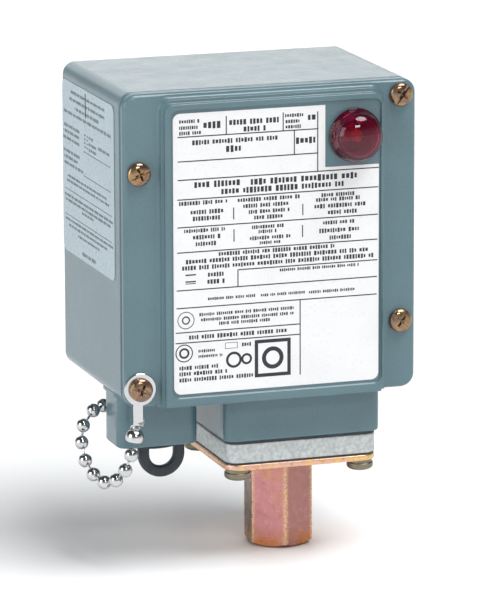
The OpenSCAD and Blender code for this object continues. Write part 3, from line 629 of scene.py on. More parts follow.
def cover_mesh(sizes):
    """Flange with a rounded front edge and a pocket behind; the raised panel stands on it in two steps,
    the first on a hollow curve, and the recess is sunk in the panel."""
    edge, fillet = sizes.cover_edge / MM, sizes.panel_fillet / MM
    x1, z0, z1 = COVER_HI[0], COVER_LO[2], COVER_HI[2]
    joint, front = COVER_HI[1], COVER_LO[1]
    box = (0.5 - x1, x1, z0, z1 - 0.6)
    pocket = (-37.9, 37.9, -47.65, 47.65)
    made = Solid()
    made.skin([
        place("y", outline(pocket, 3, 0.6), joint - 2.9), place("y", outline(pocket, 3), joint - 2.4),
        place("y", outline(pocket, 3), joint),
        *loft("y", box, 5, [(joint, 1.0), (joint - 0.9, 0), *turned_edge(FLANGE_Y, edge, -1, True)])])
    first_y, recess_y = front + 1.8, front + 0.7
    panel = loft("y", (-40.5, 41, z0, 52.95), (0.6, 0.6, 4, 4), [
        (FLANGE_Y + 0.5, -fillet), *foot_fillet(FLANGE_Y, fillet, -1, False),
        *turned_edge(first_y - 0.02, 0.35, -1, True)])
    second = loft("y", (-39.5, 40.4, z0, 51.55), (0.6, 0.6, 3.4, 3.4), [
        (first_y + 0.5, -0.5), *foot_fillet(first_y, 0.5, -1, False), *turned_edge(front, 0.55, -1, True)])
    recess = [place("y", outline((-37.4, 40.1, -52.55, 49.35), 3, inset), y)
              for y, inset in ((front, -0.2), (front + 0.15, 0), (recess_y - 0.15, 0), (recess_y, 0.15))]
    for rings in (panel, [*second, *recess]):
        rings = np.array(rings)
        rings[:, :, 2] = np.maximum(rings[:, :, 2], z0 + 0.02)
        made.skin(rings)
    holes = Solid()
    for at in COVER_SCREWS:
        holes.rod("y", at, -80, joint + 1, 2.2, n=24)
    holes.rod("y", LAMP, -80, joint + 1, 7)
    return carved(made.mesh("cover"), holes.mesh("cover_holes"), self_cut=True)


def recessed_head(radius, height, slot, depth, cross):
    """Pan head on the plane of zero, towards -Y: a round skirt, a domed top, and a slot right across it
    with a tapering cross in its middle, whose arms reach out to cross."""
    skirt = height * 0.42
    top = [(-skirt - (height - skirt) * math.sin(t), radius * (0.16 + 0.84 * math.cos(t)))
           for t in np.linspace(0.12, math.pi / 2, 9)]
    head = Solid().skin(revolve("y", (0, 0), [
        (0, radius - 0.25), (-0.25, radius), (-skirt, radius), *top, (-height, radius * 0.05)], 56))
    cut = Solid().boxes((-radius - 1, -height - 1, -slot / 2), (radius + 1, -height + depth, slot / 2))
    arm = 0.42
    for a, b in ((cross, arm), (arm, cross)):
        flat = outline((-a, a, -b, b), 0.1)
        cut.skin([place("y", flat * 1.25, -height - 0.4), place("y", flat * 0.35, -height + depth * 1.9)])
    return carved(head.mesh("head"), cut.mesh("slot"), self_cut=True)


def repeated(mesh, places, turns, axis="y"):
    """Copies of the mesh, each turned about the axis and moved to its place in millimetres, as one mesh."""
    points = np.zeros(len(mesh.vertices) * 3)
    mesh.vertices.foreach_get("co", points)
    points = points.reshape(-1, 3)
    faces = [np.array(p.vertices) for p in mesh.polygons]
    i, j = {"y": (0, 2), "z": (0, 1)}[axis]
    every, all_faces = [], []
    for k, (at, turn) in enumerate(zip(places, turns)):
        c, s = math.cos(turn), math.sin(turn)
        moved = points.copy()
        moved[:, i], moved[:, j] = c * points[:, i] - s * points[:, j], s * points[:, i] + c * points[:, j]
        every.append(moved + np.array(at) * MM)
        all_faces += [(f + k * len(points)).tolist() for f in faces]
    made = bpy.data.meshes.new("repeated")
    made.from_pydata(np.vstack(every).tolist(), [], all_faces)
    return made


def joined(*meshes):
    """Several meshes as one."""
    points, faces, count = [], [], 0
    for m in meshes:
        co = np.zeros(len(m.vertices) * 3)
        m.vertices.foreach_get("co", co)
        points.append(co.reshape(-1, 3))
        faces += [[v + count for v in p.vertices] for p in m.polygons]
        count += len(m.vertices)
    made = bpy.data.meshes.new("joined")
    made.from_pydata(np.vstack(points).tolist(), [], faces)
    return made


# ---------------------------------------------------------------- print


def word_marks(rng, a, b, middle, height):
    """Unreadable print: solid blocks in a row from a to b, in groups of three to nine, as rectangles
    (low a, high a, low b, high b)."""
    n = int((b - a) / (0.45 * height)) + 4
    width = height * rng.uniform(0.32, 0.56, n)
    gap = np.full(n, 0.2 * height)
    breaks = np.cumsum(rng.integers(3, 10, n))
    gap[breaks[breaks < n]] = 0.75 * height
    start = a + np.concatenate([[0], np.cumsum(width + gap)[:-1]])
    keep = start + width <= b + 0.4 * height
    tall = rng.choice([0.36, 0.44, 0.5], n) * height
    return np.stack([start, start + width, middle - tall, middle + tall], -1)[keep]


RATING_LINES = [
    # start, end, middle, height
    (-34.2, -26.6, 45.3, 1.3), (-34.2, -27, 43.1, 1.3), (-34.2, -26, 41.2, 1.3),
    (-16, 2.6, 44.0, 1.9), (4.4, 11.2, 45.2, 1.3), (4.6, 10.4, 43.1, 1.3), (4.6, 10.4, 41.2, 1.3),
    (-29.5, 1, 37.7, 1.7), (-34.4, -16.4, 16.5, 1.5), (-30.2, -18.6, 13.2, 1.6), (-29.4, -19.2, 10.9, 1.6),
    (-13, 9.2, 16.4, 1.5), (-11, 5.6, 14.2, 1.5), (-9, 5.8, 12.0, 1.4), (-7, 3.4, 9.9, 1.5),
    (17.8, 29.4, 16.2, 1.4), (15.8, 31.8, 14.6, 1.4), (15.2, 34.4, 12.3, 1.6), (20.2, 30.4, 9.9, 1.6),
    (-32.6, -17.4, 6.7, 1.4), (-29.4, -20, 4.3, 1.6), (-28.4, -21.4, 1.9, 1.6),
    (-7.8, 4, 6.5, 1.3), (-5.4, 1, 4.8, 1.3), (-8.6, 5.8, 2.6, 1.4), (-5, 2.2, 0.8, 1.2),
    (18.4, 30.2, 6.3, 1.4), (17, 31.2, 3.5, 1.6), (20.8, 28.2, 0.9, 1.5),
    (-20, 23, -2.1, 1.5), (-32, 35.2, -4.2, 1.6), (-33.4, 37.2, -6.4, 1.6),
    (-24, -18.6, -9.2, 1.6), (-24.2, -18.4, -11.7, 1.6), (2.4, 31.8, -9.4, 1.1),
    (-24, -7, -17.8, 1.1), (-4.6, 11.4, -17.9, 1.1), (13.2, 30.4, -18.1, 1.1),
    (-27.2, 7.6, -23.2, 1.2), (-26.6, 7.2, -25.1, 1.2), (-20, -1, -26.8, 1.2),
    (-31, 4.6, -31.1, 1.6), (-27.6, -21.6, -36.2, 1.1), (-27.6, -18.8, -38.1, 1.1),
    (-11.6, -7.8, -35.0, 1.3), (-34.6, -19.4, -41.9, 1.5), (-34.6, -17.4, -44.0, 1.5),
    (-34.6, -8, -46.2, 1.5),
]
RATING_TITLES = [
    (-25.4, -19.4, 43.6, 2.5), (-10.8, -2.8, 41.4, 1.9), (12.8, 15, 44.1, 2.5), (-17.2, -12.2, 34.8, 2.4),
    (8.4, 15.4, 36.1, 2.3), (-28.8, -10.8, 22.8, 2.3), (-8.2, 32.6, 22.6, 2.3), (-19, 25.8, 19.9, 2.1),
]
RATING_RULES = [
    # start, end, middle
    (-34.8, 16.2, 39.9), (-34.8, 16.4, 31.3), (-34.8, 39, 24.8), (-35, 38.9, 17.9), (-35, 38.8, 8.1),
    (-35.2, 38.6, -0.8), (-13, 38.6, -8.2), (-35.4, 38.5, -14.2), (-35.5, 38.4, -20.5),
    (-35.8, 9.9, -29.2), (-35.9, 9.7, -32.9),
]
RATING_UPRIGHTS = [
    # across, low, high
    (16.4, 25, 46), (-17.1, 40, 46.4), (3.7, 40, 46.4), (7.8, 31.4, 39.8), (-13, -14.2, -8.2),
    (9.9, -47.4, -20.6), (-14.5, 9.8, 14), (10.9, 9.6, 13.6), (-14.4, 1.9, 6.3), (10.8, 1.8, 6.1),
]
RATING_RINGS = [
    # centre, outer and inner radius of each ring
    ((-32.1, -24.9), ((3.1, 2.8), (1.5, 1.0))), ((-32.8, -36.6), ((3.2, 2.8), (1.9, 1.2))),
    ((-14.6, -40.2), ((2.9, 2.0),)), ((-9.9, -40.2), ((2.0, 1.2),)), ((-0.25, -40.5), ((4.0, 2.5),)),
]
SIDE_LINES = [
    (-53, -12, 46.3, 1.2), (-53, -11, 43.6, 1.2), (-46, -17, 40.9, 1.2), (-60.5, -4, 38.3, 1.3),
    (-58.5, -45, 31.5, 1.2), (-39, -34, 33.3, 1.1), (-43, -34, 31, 1.1), (-43, -34, 29, 1.1),
    (-22.6, -3, 33.3, 1.2), (-22, -2.6, 31.1, 1.2), (-22.4, -2.6, 28.7, 1.2), (-22.4, -3.6, 24.1, 1.2),
    (-20, -3.6, 21.9, 1.2), (-27, -3.6, 19.6, 1.2), (-55, -8, 15.3, 1), (-58, -7, 13.5, 1),
    (-62.4, -4, 8.1, 1.1), (-59.4, -5, 6.3, 1.1), (-39, -25, 4.6, 1), (-62.4, -4, -0.7, 1),
    (-55.4, -9, -2.6, 1), (-46, -20, -4.7, 0.9), (-41, -25, -10.1, 1.5),
    (-32.8, -31.5, 33.4, 0.7), (-32.8, -31.5, 32, 0.7), (-32.8, -31.5, 30.6, 0.7), (-32.8, -31.5, 29.2, 0.7),
    (-30, -28.4, 33.4, 0.7), (-30, -28.4, 32, 0.7), (-30, -28.4, 30.6, 0.7), (-30, -28.4, 29.2, 0.7),
]
SIDE_RULES = [(-59.5, -27.5, 27.3), (-60, -27.6, 18.6), (-61, -4.4, 10.2), (-61, -4.2, 0.9)]


def rating_rectangles():
    """All flat marks of the rating label: blocks in place of words, thin rules, plain frames."""
    rng = np.random.default_rng(7)
    marks = [word_marks(rng, *line) for line in RATING_LINES + RATING_TITLES]
    rule = 0.2
    marks.append(np.array([(a, b, m - rule, m + rule) for a, b, m in RATING_RULES]))
    marks.append(np.array([(m - rule, m + rule, a, b) for m, a, b in RATING_UPRIGHTS]))
    marks.append(np.array([(-32.2, -28.4, low, high)
                           for low, high in ((-9.1, -8.6), (-11.5, -11.0), (-12.1, -11.8))]))
    for a0, a1, b0, b1, t in ((-6.9, 6.4, -47.2, -33.8, 1.25), (-17.8, -13.2, -36.1, -33.9, 0.18)):
        marks.append(np.array([(a0, a1, b0, b0 + t), (a0, a1, b1 - t, b1),
                               (a0, a0 + t, b0 + t, b1 - t), (a1 - t, a1, b0 + t, b1 - t)]))
    return np.vstack(marks)


def label_outline(box, radius, cut):
    """Rounded rectangle, its last corner cut back to a right-angled notch at the point cut."""
    points = outline(box, radius)
    n = CORNER_STEPS + 1
    notch = np.array([(box[1], cut[1]), (cut[0], cut[1]), (cut[0], box[3])])
    return np.vstack([points[: 2 * n], notch, points[3 * n:]])


def printed_rings(made, at, y, height, rings):
    """Flat rings of ink round a point: outer and inner radius of each."""
    for outer, inner in rings:
        made.skin(revolve("y", at, [(y, inner), (y, outer), (y - height, outer), (y - height, inner)], 48),
                  1, closed=True)


def rating_label_mesh(sizes):
    """The label sheet with its notch, and the ink on it."""
    made = Solid()
    flat = label_outline((LABEL_LO[0], LABEL_HI[0], LABEL_LO[2], LABEL_HI[2]), 2.6, (19.2, 26.1))
    back, front = LABEL_HI[1], LABEL_LO[1]
    made.skin([place("y", flat, back), place("y", flat, front)])
    height = sizes.ink_height / MM
    marks = rating_rectangles()
    made.boxes(np.stack([marks[:, 0], np.full(len(marks), front - height), marks[:, 2]], -1),
               np.stack([marks[:, 1], np.full(len(marks), front), marks[:, 3]], -1), 1)
    for at, rings in RATING_RINGS:
        printed_rings(made, at, front, height, rings)
    return made.mesh("rating_label")


def side_label_mesh(sizes):
    """The side label and the ink on it."""
    made = Solid()
    box = (SIDE_LO[1], SIDE_HI[1], SIDE_LO[2], SIDE_HI[2])
    made.skin(loft("x", box, 3, [(SIDE_HI[0], 0), (SIDE_LO[0], 0)]))
    rng = np.random.default_rng(11)
    marks = [word_marks(rng, *line) for line in SIDE_LINES]
    marks.append(np.array([(a, b, m - 0.16, m + 0.16) for a, b, m in SIDE_RULES]))
    marks.append(np.array([(-30.9, -29.5, 39.6, 48.4)]))
    marks = np.vstack(marks)
    face = SIDE_LO[0]
    made.boxes(np.stack([np.full(len(marks), face - sizes.ink_height / MM), marks[:, 0], marks[:, 2]], -1),
               np.stack([np.full(len(marks), face), marks[:, 1], marks[:, 3]], -1), 1)
    return made.mesh("side_label")


# ---------------------------------------------------------------- light, chain, plug, pressure end


def lens_mesh():
    """Turned section: foot, tapering side, dome whose curve is a quarter of an ellipse; hollow behind."""
    seat, tip = -77.9, LENS_LO[1]
    shoulder, rim, side_r = seat - 4.6, 9.6, 8.4
    dome = [(shoulder - (shoulder - tip) * math.sin(t), side_r * math.cos(t))
            for t in np.linspace(0.02, math.pi / 2 - 0.02, 22)]
    inner = [(shoulder - (shoulder - tip - 1.9) * math.sin(t), 6.4 * math.cos(t))
             for t in np.linspace(math.pi / 2 - 0.02, 0, 16)]
    outside = [(seat, 6.6), (seat, rim - 0.3), (seat - 0.3, rim), (seat - 0.9, rim),
               (seat - 1.3, rim - 0.35), *dome]
    return Solid().skin(revolve("y", LAMP, [*outside, *inner, (seat, 6.4)], 96), closed=True).mesh("lens")


def bead_mesh(at, way, reach, radius, hole, wire):
    """Hollow bead: a ball turned down to a small rolled hole at each end of its axis, and the wire that
    runs from inside it to the next one."""
    t = np.linspace(math.asin(hole / radius), math.pi - math.asin(hole / radius), 25)
    along, out = -radius * np.cos(t), radius * np.sin(t)
    along = np.concatenate([[-radius + 0.5], along, [radius - 0.5]])
    out = np.concatenate([[hole * 0.8], out, [hole * 0.8]])
    side = np.cross(way, (0.0, 0.0, 1.0))
    side /= np.linalg.norm(side)
    up = np.cross(side, way)
    a = np.linspace(0, TURN, 40, endpoint=False)
    ring = np.cos(a)[:, None] * side + np.sin(a)[:, None] * up
    made = Solid().skin(at + along[:, None, None] * way + out[:, None, None] * ring[None])
    steps = np.linspace(radius - 0.8, reach, 8)
    made.skin(tube(at + steps[:, None] * way, wire))
    return made.mesh("bead")


def strip_section(width, thickness):
    return outline((-width / 2, width / 2, -thickness / 2, thickness / 2), 0.12)


def cup(made, at, way, radius, wall, opening):
    """Half-closed shell round the end bead: part of a ball outside and inside, open towards way."""
    stop = math.acos(opening)
    t = np.linspace(math.pi, stop, 18)
    outer = [(radius * math.cos(v), radius * math.sin(v)) for v in t]
    inner = [((radius - wall) * math.cos(v), (radius - wall) * math.sin(v)) for v in t[::-1]]
    side = np.cross(way, (0.3, 0.9, 0.1))
    side /= np.linalg.norm(side)
    up = np.cross(side, way)
    a = np.linspace(0, TURN, 40, endpoint=False)
    ring = np.cos(a)[:, None] * side + np.sin(a)[:, None] * up
    rings = [at + h * way + max(r, 0.02) * ring for h, r in [*outer, *inner]]
    made.skin(rings)


def front_eyelet_mesh():
    """Flat ring under the lowest left screw, its neck folded back on itself above the cup."""
    at = np.array(COVER_SCREWS[3])
    made = Solid()
    made.skin(revolve("y", at, [
        (FLANGE_Y, 2.0), (FLANGE_Y, 5.6), (FLANGE_Y - 0.2, 5.8), (FLANGE_Y - 0.6, 5.8),
        (FLANGE_Y - 0.8, 5.55), (FLANGE_Y - 0.8, 2.0)], 64), closed=True)
    path = smooth_path([(-48.95, -74.9, -53.6), (-48.95, -74.9, -57), (-48.95, -74.9, -60.4),
                        (-48.95, -74.3, -61.8), (-49.1, -72.9, -62.3), (-49.4, -72.3, -63.4)], 30)
    made.skin(band(path, strip_section(3.4, 0.7), (1, 0, 0)))
    fold = smooth_path([(-48.95, -74.5, -59.6), (-47.9, -74.9, -60.6), (-46.9, -75.0, -61.0)], 10)
    made.skin(band(fold, strip_section(2.4, 0.7), (0.35, 0.2, 1)))
    cup(made, FRONT_CUP, np.array((-0.12, 0.1, -1)) / np.linalg.norm((-0.12, 0.1, -1)), 3.3, 0.45, 0.35)
    return made.mesh("front_eyelet")


def rear_eyelet_mesh():
    """Flat ring on the underside, a short neck and the cup of the chain's far end."""
    z = -HALF_H
    made = Solid()
    made.skin(revolve("z", ANCHOR, [
        (z, 2.1), (z, 5.6), (z - 0.2, 5.8), (z - 0.6, 5.8), (z - 0.8, 5.6), (z - 0.8, 2.1)], 64), closed=True)
    path = smooth_path([(-33.2, -16.0, z - 0.45), (-34.4, -17.4, z - 0.9), (-35.6, -18.6, z - 1.8)], 14)
    made.skin(band(path, strip_section(3.0, 0.7), (0.75, -0.66, 0)))
    way = BEADS[-1] - REAR_CUP
    cup(made, REAR_CUP, way / np.linalg.norm(way), REAR_CUP_R, 0.4, 0.35)
    return made.mesh("rear_eyelet")


def plug_mesh():
    """Cap with a rounded rim, hollow ribbed body above it, and below it a pull loop: a grooved band
    that runs down, round half a ring and up again."""
    cap_z = HUB_Z - 0.3
    made = Solid()
    body = [(cap_z + 14, 7.3), (cap_z + 14, 8.4), (cap_z + 13.2, 8.9)]
    for k in range(4):
        z = cap_z + 11.4 - 3 * k
        body += [(z + 0.9, 8.75), (z + 0.45, 9.05), (z - 0.45, 9.05), (z - 0.9, 8.75)]
    body += [(cap_z, 8.8), (cap_z, 11.9), (cap_z - 0.25, 12.2), (cap_z - 0.6, 12.2), (cap_z - 0.9, 11.8)]
    body += [(cap_z - 0.9, 0.02)]
    inside = [(cap_z + 2, 0.02), (cap_z + 2, 7.3)]
    made.skin(revolve("z", HUB_CENTRE, [*body, *inside], 64), closed=True)
    x, y, z = -32.8, -49.8, -78.85
    r, half_w, half_t = 6.55, 1.95, 1.6
    a = np.linspace(0, math.pi, 33)
    path = np.vstack([
        [(x - r, y, v) for v in np.linspace(cap_z - 0.7, z, 5)[:-1]],
        np.stack([x - r * np.cos(a), np.full(33, y), z - r * np.sin(a)], -1),
        [(x + r, y, v) for v in np.linspace(z, cap_z - 0.7, 5)[1:]]])
    section = outline((-half_t, half_t, -half_w, half_w), 0.9)
    groove = np.abs(section[:, 1]) < 0.2
    section[groove, 0] *= 0.85
    made.skin(band(path, section, (0, 1, 0)))
    return made.mesh("plug")


def square_ring(box, radii, path, centre, bore):
    """A plate round a bore: the outline's rings, then the bore's two circles, closed on themselves."""
    rings = loft("z", box, radii, path)
    flat = outline(box, radii)
    bore_ring = drawn_to_circle(flat, centre, bore)
    return [*rings, place("z", bore_ring, path[-1][0]), place("z", bore_ring, path[0][0])]


def square(lo, hi):
    return (lo[0], hi[0], lo[1], hi[1])


def block_mesh():
    """Die-cast ring: rounded edges and a faint parting ridge half way up."""
    z0, z1 = BLOCK_LO[2], BLOCK_HI[2]
    middle = (z0 + z1) / 2
    path = [*turned_edge(z0, 0.7, -1, False), (middle - 0.35, 0.02), (middle - 0.12, 0.0),
            (middle + 0.12, 0.0), (middle + 0.35, 0.02), *turned_edge(z1, 0.7, 1, True)]
    rings = square_ring(square(BLOCK_LO, BLOCK_HI), 5, path, ACTUATOR, 14.05)
    return Solid().skin(rings, closed=True).mesh("block")


def plate_mesh(edge):
    """Pressed plate with rolled edges round the connector's spigot."""
    z0, z1 = PLATE_LO[2], PLATE_HI[2]
    path = [*turned_edge(z0, edge, -1, False), *turned_edge(z1, edge, 1, True)]
    rings = square_ring(square(PLATE_LO, PLATE_HI), 6, path, ACTUATOR, 8.5)
    return Solid().skin(rings, closed=True).mesh("plate")


def hexagon(flats, corner, turn):
    """Directions and distances of a hexagon's outline: each corner is an arc of the given radius that meets
    both flats, and each flat has a few points between its two arcs."""
    arc = np.linspace(-math.pi / 6, math.pi / 6, 5)
    hub = (flats / 2 - corner) / math.cos(math.pi / 6)

    def on_corner(middle, t):
        """A point of the corner at the angle middle, t round its arc."""
        return hub * np.array([math.cos(middle), math.sin(middle)]) \
            + corner * np.array([math.cos(middle + t), math.sin(middle + t)])

    points = []
    for k in range(6):
        middle = turn + k * math.pi / 3
        points += [on_corner(middle, t) for t in arc]
        start, end = points[-1], on_corner(middle + math.pi / 3, arc[0])
        points += [start + (end - start) * t for t in np.linspace(0, 1, 11)[1:-1]]
    points = np.array(points)
    return np.arctan2(points[:, 1], points[:, 0]), np.linalg.norm(points, axis=1)


def port_mesh(corner):
    """Hexagon whose corners are turned off above and below by a cone, so that each flat ends in an arc;
    spigot above, and a threaded bore below whose radius follows a triangle wave along the helix."""
    z0, z1 = PORT_LO[2], -83.25
    flats, cone, spigot, passage = 22.2, 10.7, 8.45, 3.0
    a, r = hexagon(flats, corner, HEXAGON_TURN)
    way = np.stack([np.cos(a), np.sin(a)], -1)

    def ring(radius, z):
        flat = ACTUATOR + way * np.asarray(radius).reshape(-1, 1)
        return np.column_stack([flat, np.broadcast_to(z, len(a))])

    def round_ring(radius, z):
        return ring(np.full(len(a), radius), z)

    rise = np.maximum(r - cone, 0) * 0.62
    half_cone = (r + cone) / 2
    thread = [ring(5.56 + 0.42 * np.abs(np.mod(z / 1.41 - a / TURN, 1) * 2 - 1), z0 + z)
              for z in np.linspace(1.2, 14, 96)]
    flank = [ring(r, (z0 + rise) + (z1 - z0 - 2 * rise) * k) for k in (0, 0.04, 0.1, 0.2, 0.5, 1)]
    rings = [
        *[ring(5.5 + 1.3 * k, z0 + 1.2 - 1.2 * k) for k in (0, 0.5, 1)], round_ring(cone, z0),
        ring(half_cone, z0 + rise * 0.5), *flank, ring(half_cone, z1 - rise * 0.5),
        round_ring(cone, z1), round_ring(spigot, z1), round_ring(spigot, PORT_HI[2]),
        round_ring(passage, PORT_HI[2]), round_ring(passage, z0 + 14.6), *thread[::-1]]
    mesh = Solid().skin(rings, closed=True).mesh("port")
    places = np.array([v.co for v in mesh.vertices]) / MM
    out = places[:, :2] - ACTUATOR
    angle = np.arctan2(out[:, 1], out[:, 0]) - HEXAGON_TURN
    facet = np.floor(np.mod(angle, TURN) / (math.pi / 3)).astype(int) % 6
    worn = np.clip((np.linalg.norm(out, axis=1) - (flats / 2 / math.cos(math.pi / 6) - 0.32)) / 0.2, 0, 1)
    mouth = np.clip(1 - (places[:, 2] - z0) / 7, 0, 1)
    # The facet attribute carries the painted shade of each flat of the hexagon
    for name, values in (("facet", np.take(FACET_PAINTED_SHADES, facet)), ("worn", worn), ("mouth", mouth)):
        mesh.attributes.new(name, "FLOAT", "POINT").data.foreach_set("value", values.astype(np.float32))
    return mesh


def flange_screw_mesh():
    """Round head below the lock washer with a slot across it; the shank goes up into the neck."""
    r, h = 4.75, 3.0
    dome = [(-h * 0.45 - h * 0.55 * math.sin(t), r * (0.25 + 0.75 * math.cos(t)))
            for t in np.linspace(0, math.pi / 2, 8)]
    head = Solid().skin(revolve("z", (0, 0), [
        (26.0, 1.9), (26.3, 2.0), (0, 2.05), (0, r - 0.2), (-0.2, r), *dome, (-h, 0.3)][::-1], 48))
    cut = Solid().boxes((-6, -0.6, -h - 1), (6, 0.6, -h + 1.1))
    return carved(head.mesh("flange_head"), cut.mesh("flange_slot"))


def helix(at, z0, z1, mean_r, wire, turns):
    """Centre line of a compression spring: radius constant, height slow at both ends where the last
    three quarters of a turn lie closed."""
    per_turn, squeeze = 40, 0.75
    s = np.linspace(0, 1, int(turns * per_turn) + 1)
    k = squeeze / turns
    u = np.clip((s - k) / (1 - 2 * k), 0, 1)
    shift = wire * 0.9
    z = z0 + wire + shift * np.clip(s / k, 0, 1) + (z1 - z0 - 2 * wire - 2 * shift) * u \
        + shift * np.clip((s - 1 + k) / k, 0, 1)
    a = TURN * turns * s
    return np.stack([at[0] + mean_r * np.cos(a), at[1] + mean_r * np.sin(a), z], -1)


# ---------------------------------------------------------------- operators


def settings():
    scene = bpy.context.scene
    return scene.pressure_switch_sizes, scene.pressure_switch_colours


FINISH = {}


def finish(key):
    """The material of that key, made the first time it is asked for."""
    if key not in FINISH:
        c = settings()[1]
        makers = {
            "enamel": lambda: enamel(c.enamel),
            "rubber": lambda: rubber(c.rubber),
            "plate_chromate": lambda: chromate("plate_chromate", (0.78, 0.46, 0.36), (0.88, 0.56, 0.18),
                                               (0.16, 0.07, 0.04), 0.1, 0.34, 260, 0.7),
            "port_chromate": lambda: chromate("port_chromate", (0.56, 0.24, 0.25), (0.60, 0.30, 0.16),
                                              (0.2, 0.1, 0.06), 0.12, 0.3, 60, 0.45, True),
            "screw_chromate": lambda: chromate("screw_chromate", (0.22, 0.14, 0.105), (0.40, 0.26, 0.13),
                                               (0.05, 0.03, 0.02), 0.0, 0.16, 240, 0.65),
            "paper": lambda: paper("label_paper", c.paper),
            "side_paper": lambda: paper("side_label_paper", c.side_paper),
            "ink": lambda: ink("label_ink", c.ink),
            "side_ink": lambda: ink("side_label_ink", c.side_ink),
            "lens": lambda: lens_plastic(c.lens),
            "lamp": lambda: lamp_glass(c.lamp),
            "phenolic": lambda: moulding("black_phenolic", (0.018, 0.016, 0.015), 0.38),
            "lead": lambda: moulding("red_lead_sleeve", (0.45, 0.03, 0.02), 0.45),
            "nickel": lambda: metal("bright_nickel", c.nickel, 0.11, wear=0.15),
            "zinc": lambda: cast_zinc(c.zinc),
            "plated_zinc": lambda: metal("zinc_plated_sheet", (0.6, 0.62, 0.62), 0.34, (500, 500, 90), 0.35),
            "dark_steel": lambda: metal("dark_plated_steel", (0.25, 0.22, 0.16), 0.34, wear=0.45),
            "steel": lambda: metal("machined_steel", c.steel, 0.26, (60, 2500, 2500)),
            "spring": lambda: metal("spring_steel", (0.3, 0.31, 0.33), 0.3, (900, 900, 2600)),
            "brass": lambda: metal("brass", (0.72, 0.52, 0.22), 0.26),
            "white": lambda: moulding("white_moulding", (0.72, 0.70, 0.64), 0.42),
            "green": lambda: metal("green_dyed_screw", (0.08, 0.32, 0.12), 0.34),
        }
        FINISH[key] = makers[key]()
    return FINISH[key]


class PRESSURE_SWITCH_OT_case(bpy.types.Operator):
    """Build the cast enclosure with its hub, neck and bores"""

    bl_idname = "pressure_switch.case"
    bl_label = "Enclosure"

    def execute(self, context):
        sizes, _ = settings()
        piece = finished("case_casting", case_mesh(sizes), "housing", [finish("enamel")],
                         ["enclosure"])
        shade_by_corner(piece)
        return {"FINISHED"}


class PRESSURE_SWITCH_OT_cover(bpy.types.Operator):
    """Build the cast cover with its raised panel and recess"""

    bl_idname = "pressure_switch.cover"
    bl_label = "Cover"

    def execute(self, context):
        sizes, _ = settings()
        piece = finished("cover_casting", cover_mesh(sizes), "cover", [finish("enamel")],
                         ["cover"])
        shade_by_corner(piece)
        return {"FINISHED"}


class PRESSURE_SWITCH_OT_screws(bpy.types.Operator):
    """Build the cover screws and the flange screws"""

    bl_idname = "pressure_switch.screws"
    bl_label = "Screws"

    def execute(self, context):
        sizes, _ = settings()
        head = recessed_head(4.15, 2.7, sizes.slot_width / MM, sizes.slot_depth / MM, 2.3)
        shank = Solid().rod("y", (0, 0), -0.1, FLANGE_Y * -1 + SCREWS_HI[1], 1.7, 0.4, n=24).mesh("shank")
        seats = [(x, FLANGE_Y - (0.8 if k == 3 else 0), z) for k, (x, z) in enumerate(COVER_SCREWS)]
        mesh = repeated(joined(head, shank), seats, (0.42, 0.95, 2.5, -0.35))
        finished("cover_screw_set", mesh, "cover", [finish("screw_chromate")],
                 ["cover_screws"])
        seats = [(*at, PLATE_LO[2] - 1.2) for at in FLANGE_SCREWS]
        mesh = repeated(flange_screw_mesh(), seats, (0.5, 1.9, 2.6, 0.1), "z")
        finished("flange_screw_set", mesh, "housing", [finish("dark_steel")], ["flange_screws"])
        return {"FINISHED"}


class PRESSURE_SWITCH_OT_labels(bpy.types.Operator):
    """Lay the two printed labels"""

    bl_idname = "pressure_switch.labels"
    bl_label = "Labels"

    def execute(self, context):
        sizes, _ = settings()
        finished("rating_label_sheet", rating_label_mesh(sizes), "cover",
                 [finish("paper"), finish("ink")], ["rating_label"])
        finished("side_label_sheet", side_label_mesh(sizes), "housing",
                 [finish("side_paper"), finish("side_ink")], ["side_label"])
        return {"FINISHED"}


class PRESSURE_SWITCH_OT_lens(bpy.types.Operator):
    """Build the lens of the pilot light"""

    bl_idname = "pressure_switch.lens"
    bl_label = "Pilot light lens"

    def execute(self, context):
        finished("lens_dome", lens_mesh(), "cover", [finish("lens")], ["pilot_lens"])
        return {"FINISHED"}


class PRESSURE_SWITCH_OT_chain(bpy.types.Operator):
    """String the ball chain and fold its two eyelets"""

    bl_idname = "pressure_switch.chain"
    bl_label = "Ball chain"

    def execute(self, context):
        sizes, _ = settings()
        following = np.vstack([BEADS[1:], REAR_CUP[None]])
        for k, (at, nxt) in enumerate(zip(BEADS, following)):
            gap = np.linalg.norm(nxt - at)
            reach = gap - (REAR_CUP_R if k == len(BEADS) - 1 else BEAD_R) + 0.5
            mesh = bead_mesh(at, (nxt - at) / gap, reach, BEAD_R,
                             sizes.bead_hole / MM, sizes.wire_radius / MM)
            name = f"bead_{k + 1:02d}"
            finished("chain_ball_" + name[-2:], mesh, name, [finish("nickel")], [name], 40)
        finished("chain_end_front", front_eyelet_mesh(), "cover", [finish("nickel")],
                 ["front_eyelet"])
        finished("chain_end_rear", rear_eyelet_mesh(), "housing", [finish("nickel")],
                 ["rear_eyelet"])
        return {"FINISHED"}


class PRESSURE_SWITCH_OT_plug(bpy.types.Operator):
    """Mould the transit plug and its pull loop"""

    bl_idname = "pressure_switch.plug"
    bl_label = "Transit plug"

    def execute(self, context):
        finished("transit_plug", plug_mesh(), "plug", [finish("rubber")], ["conduit_plug"])
        return {"FINISHED"}


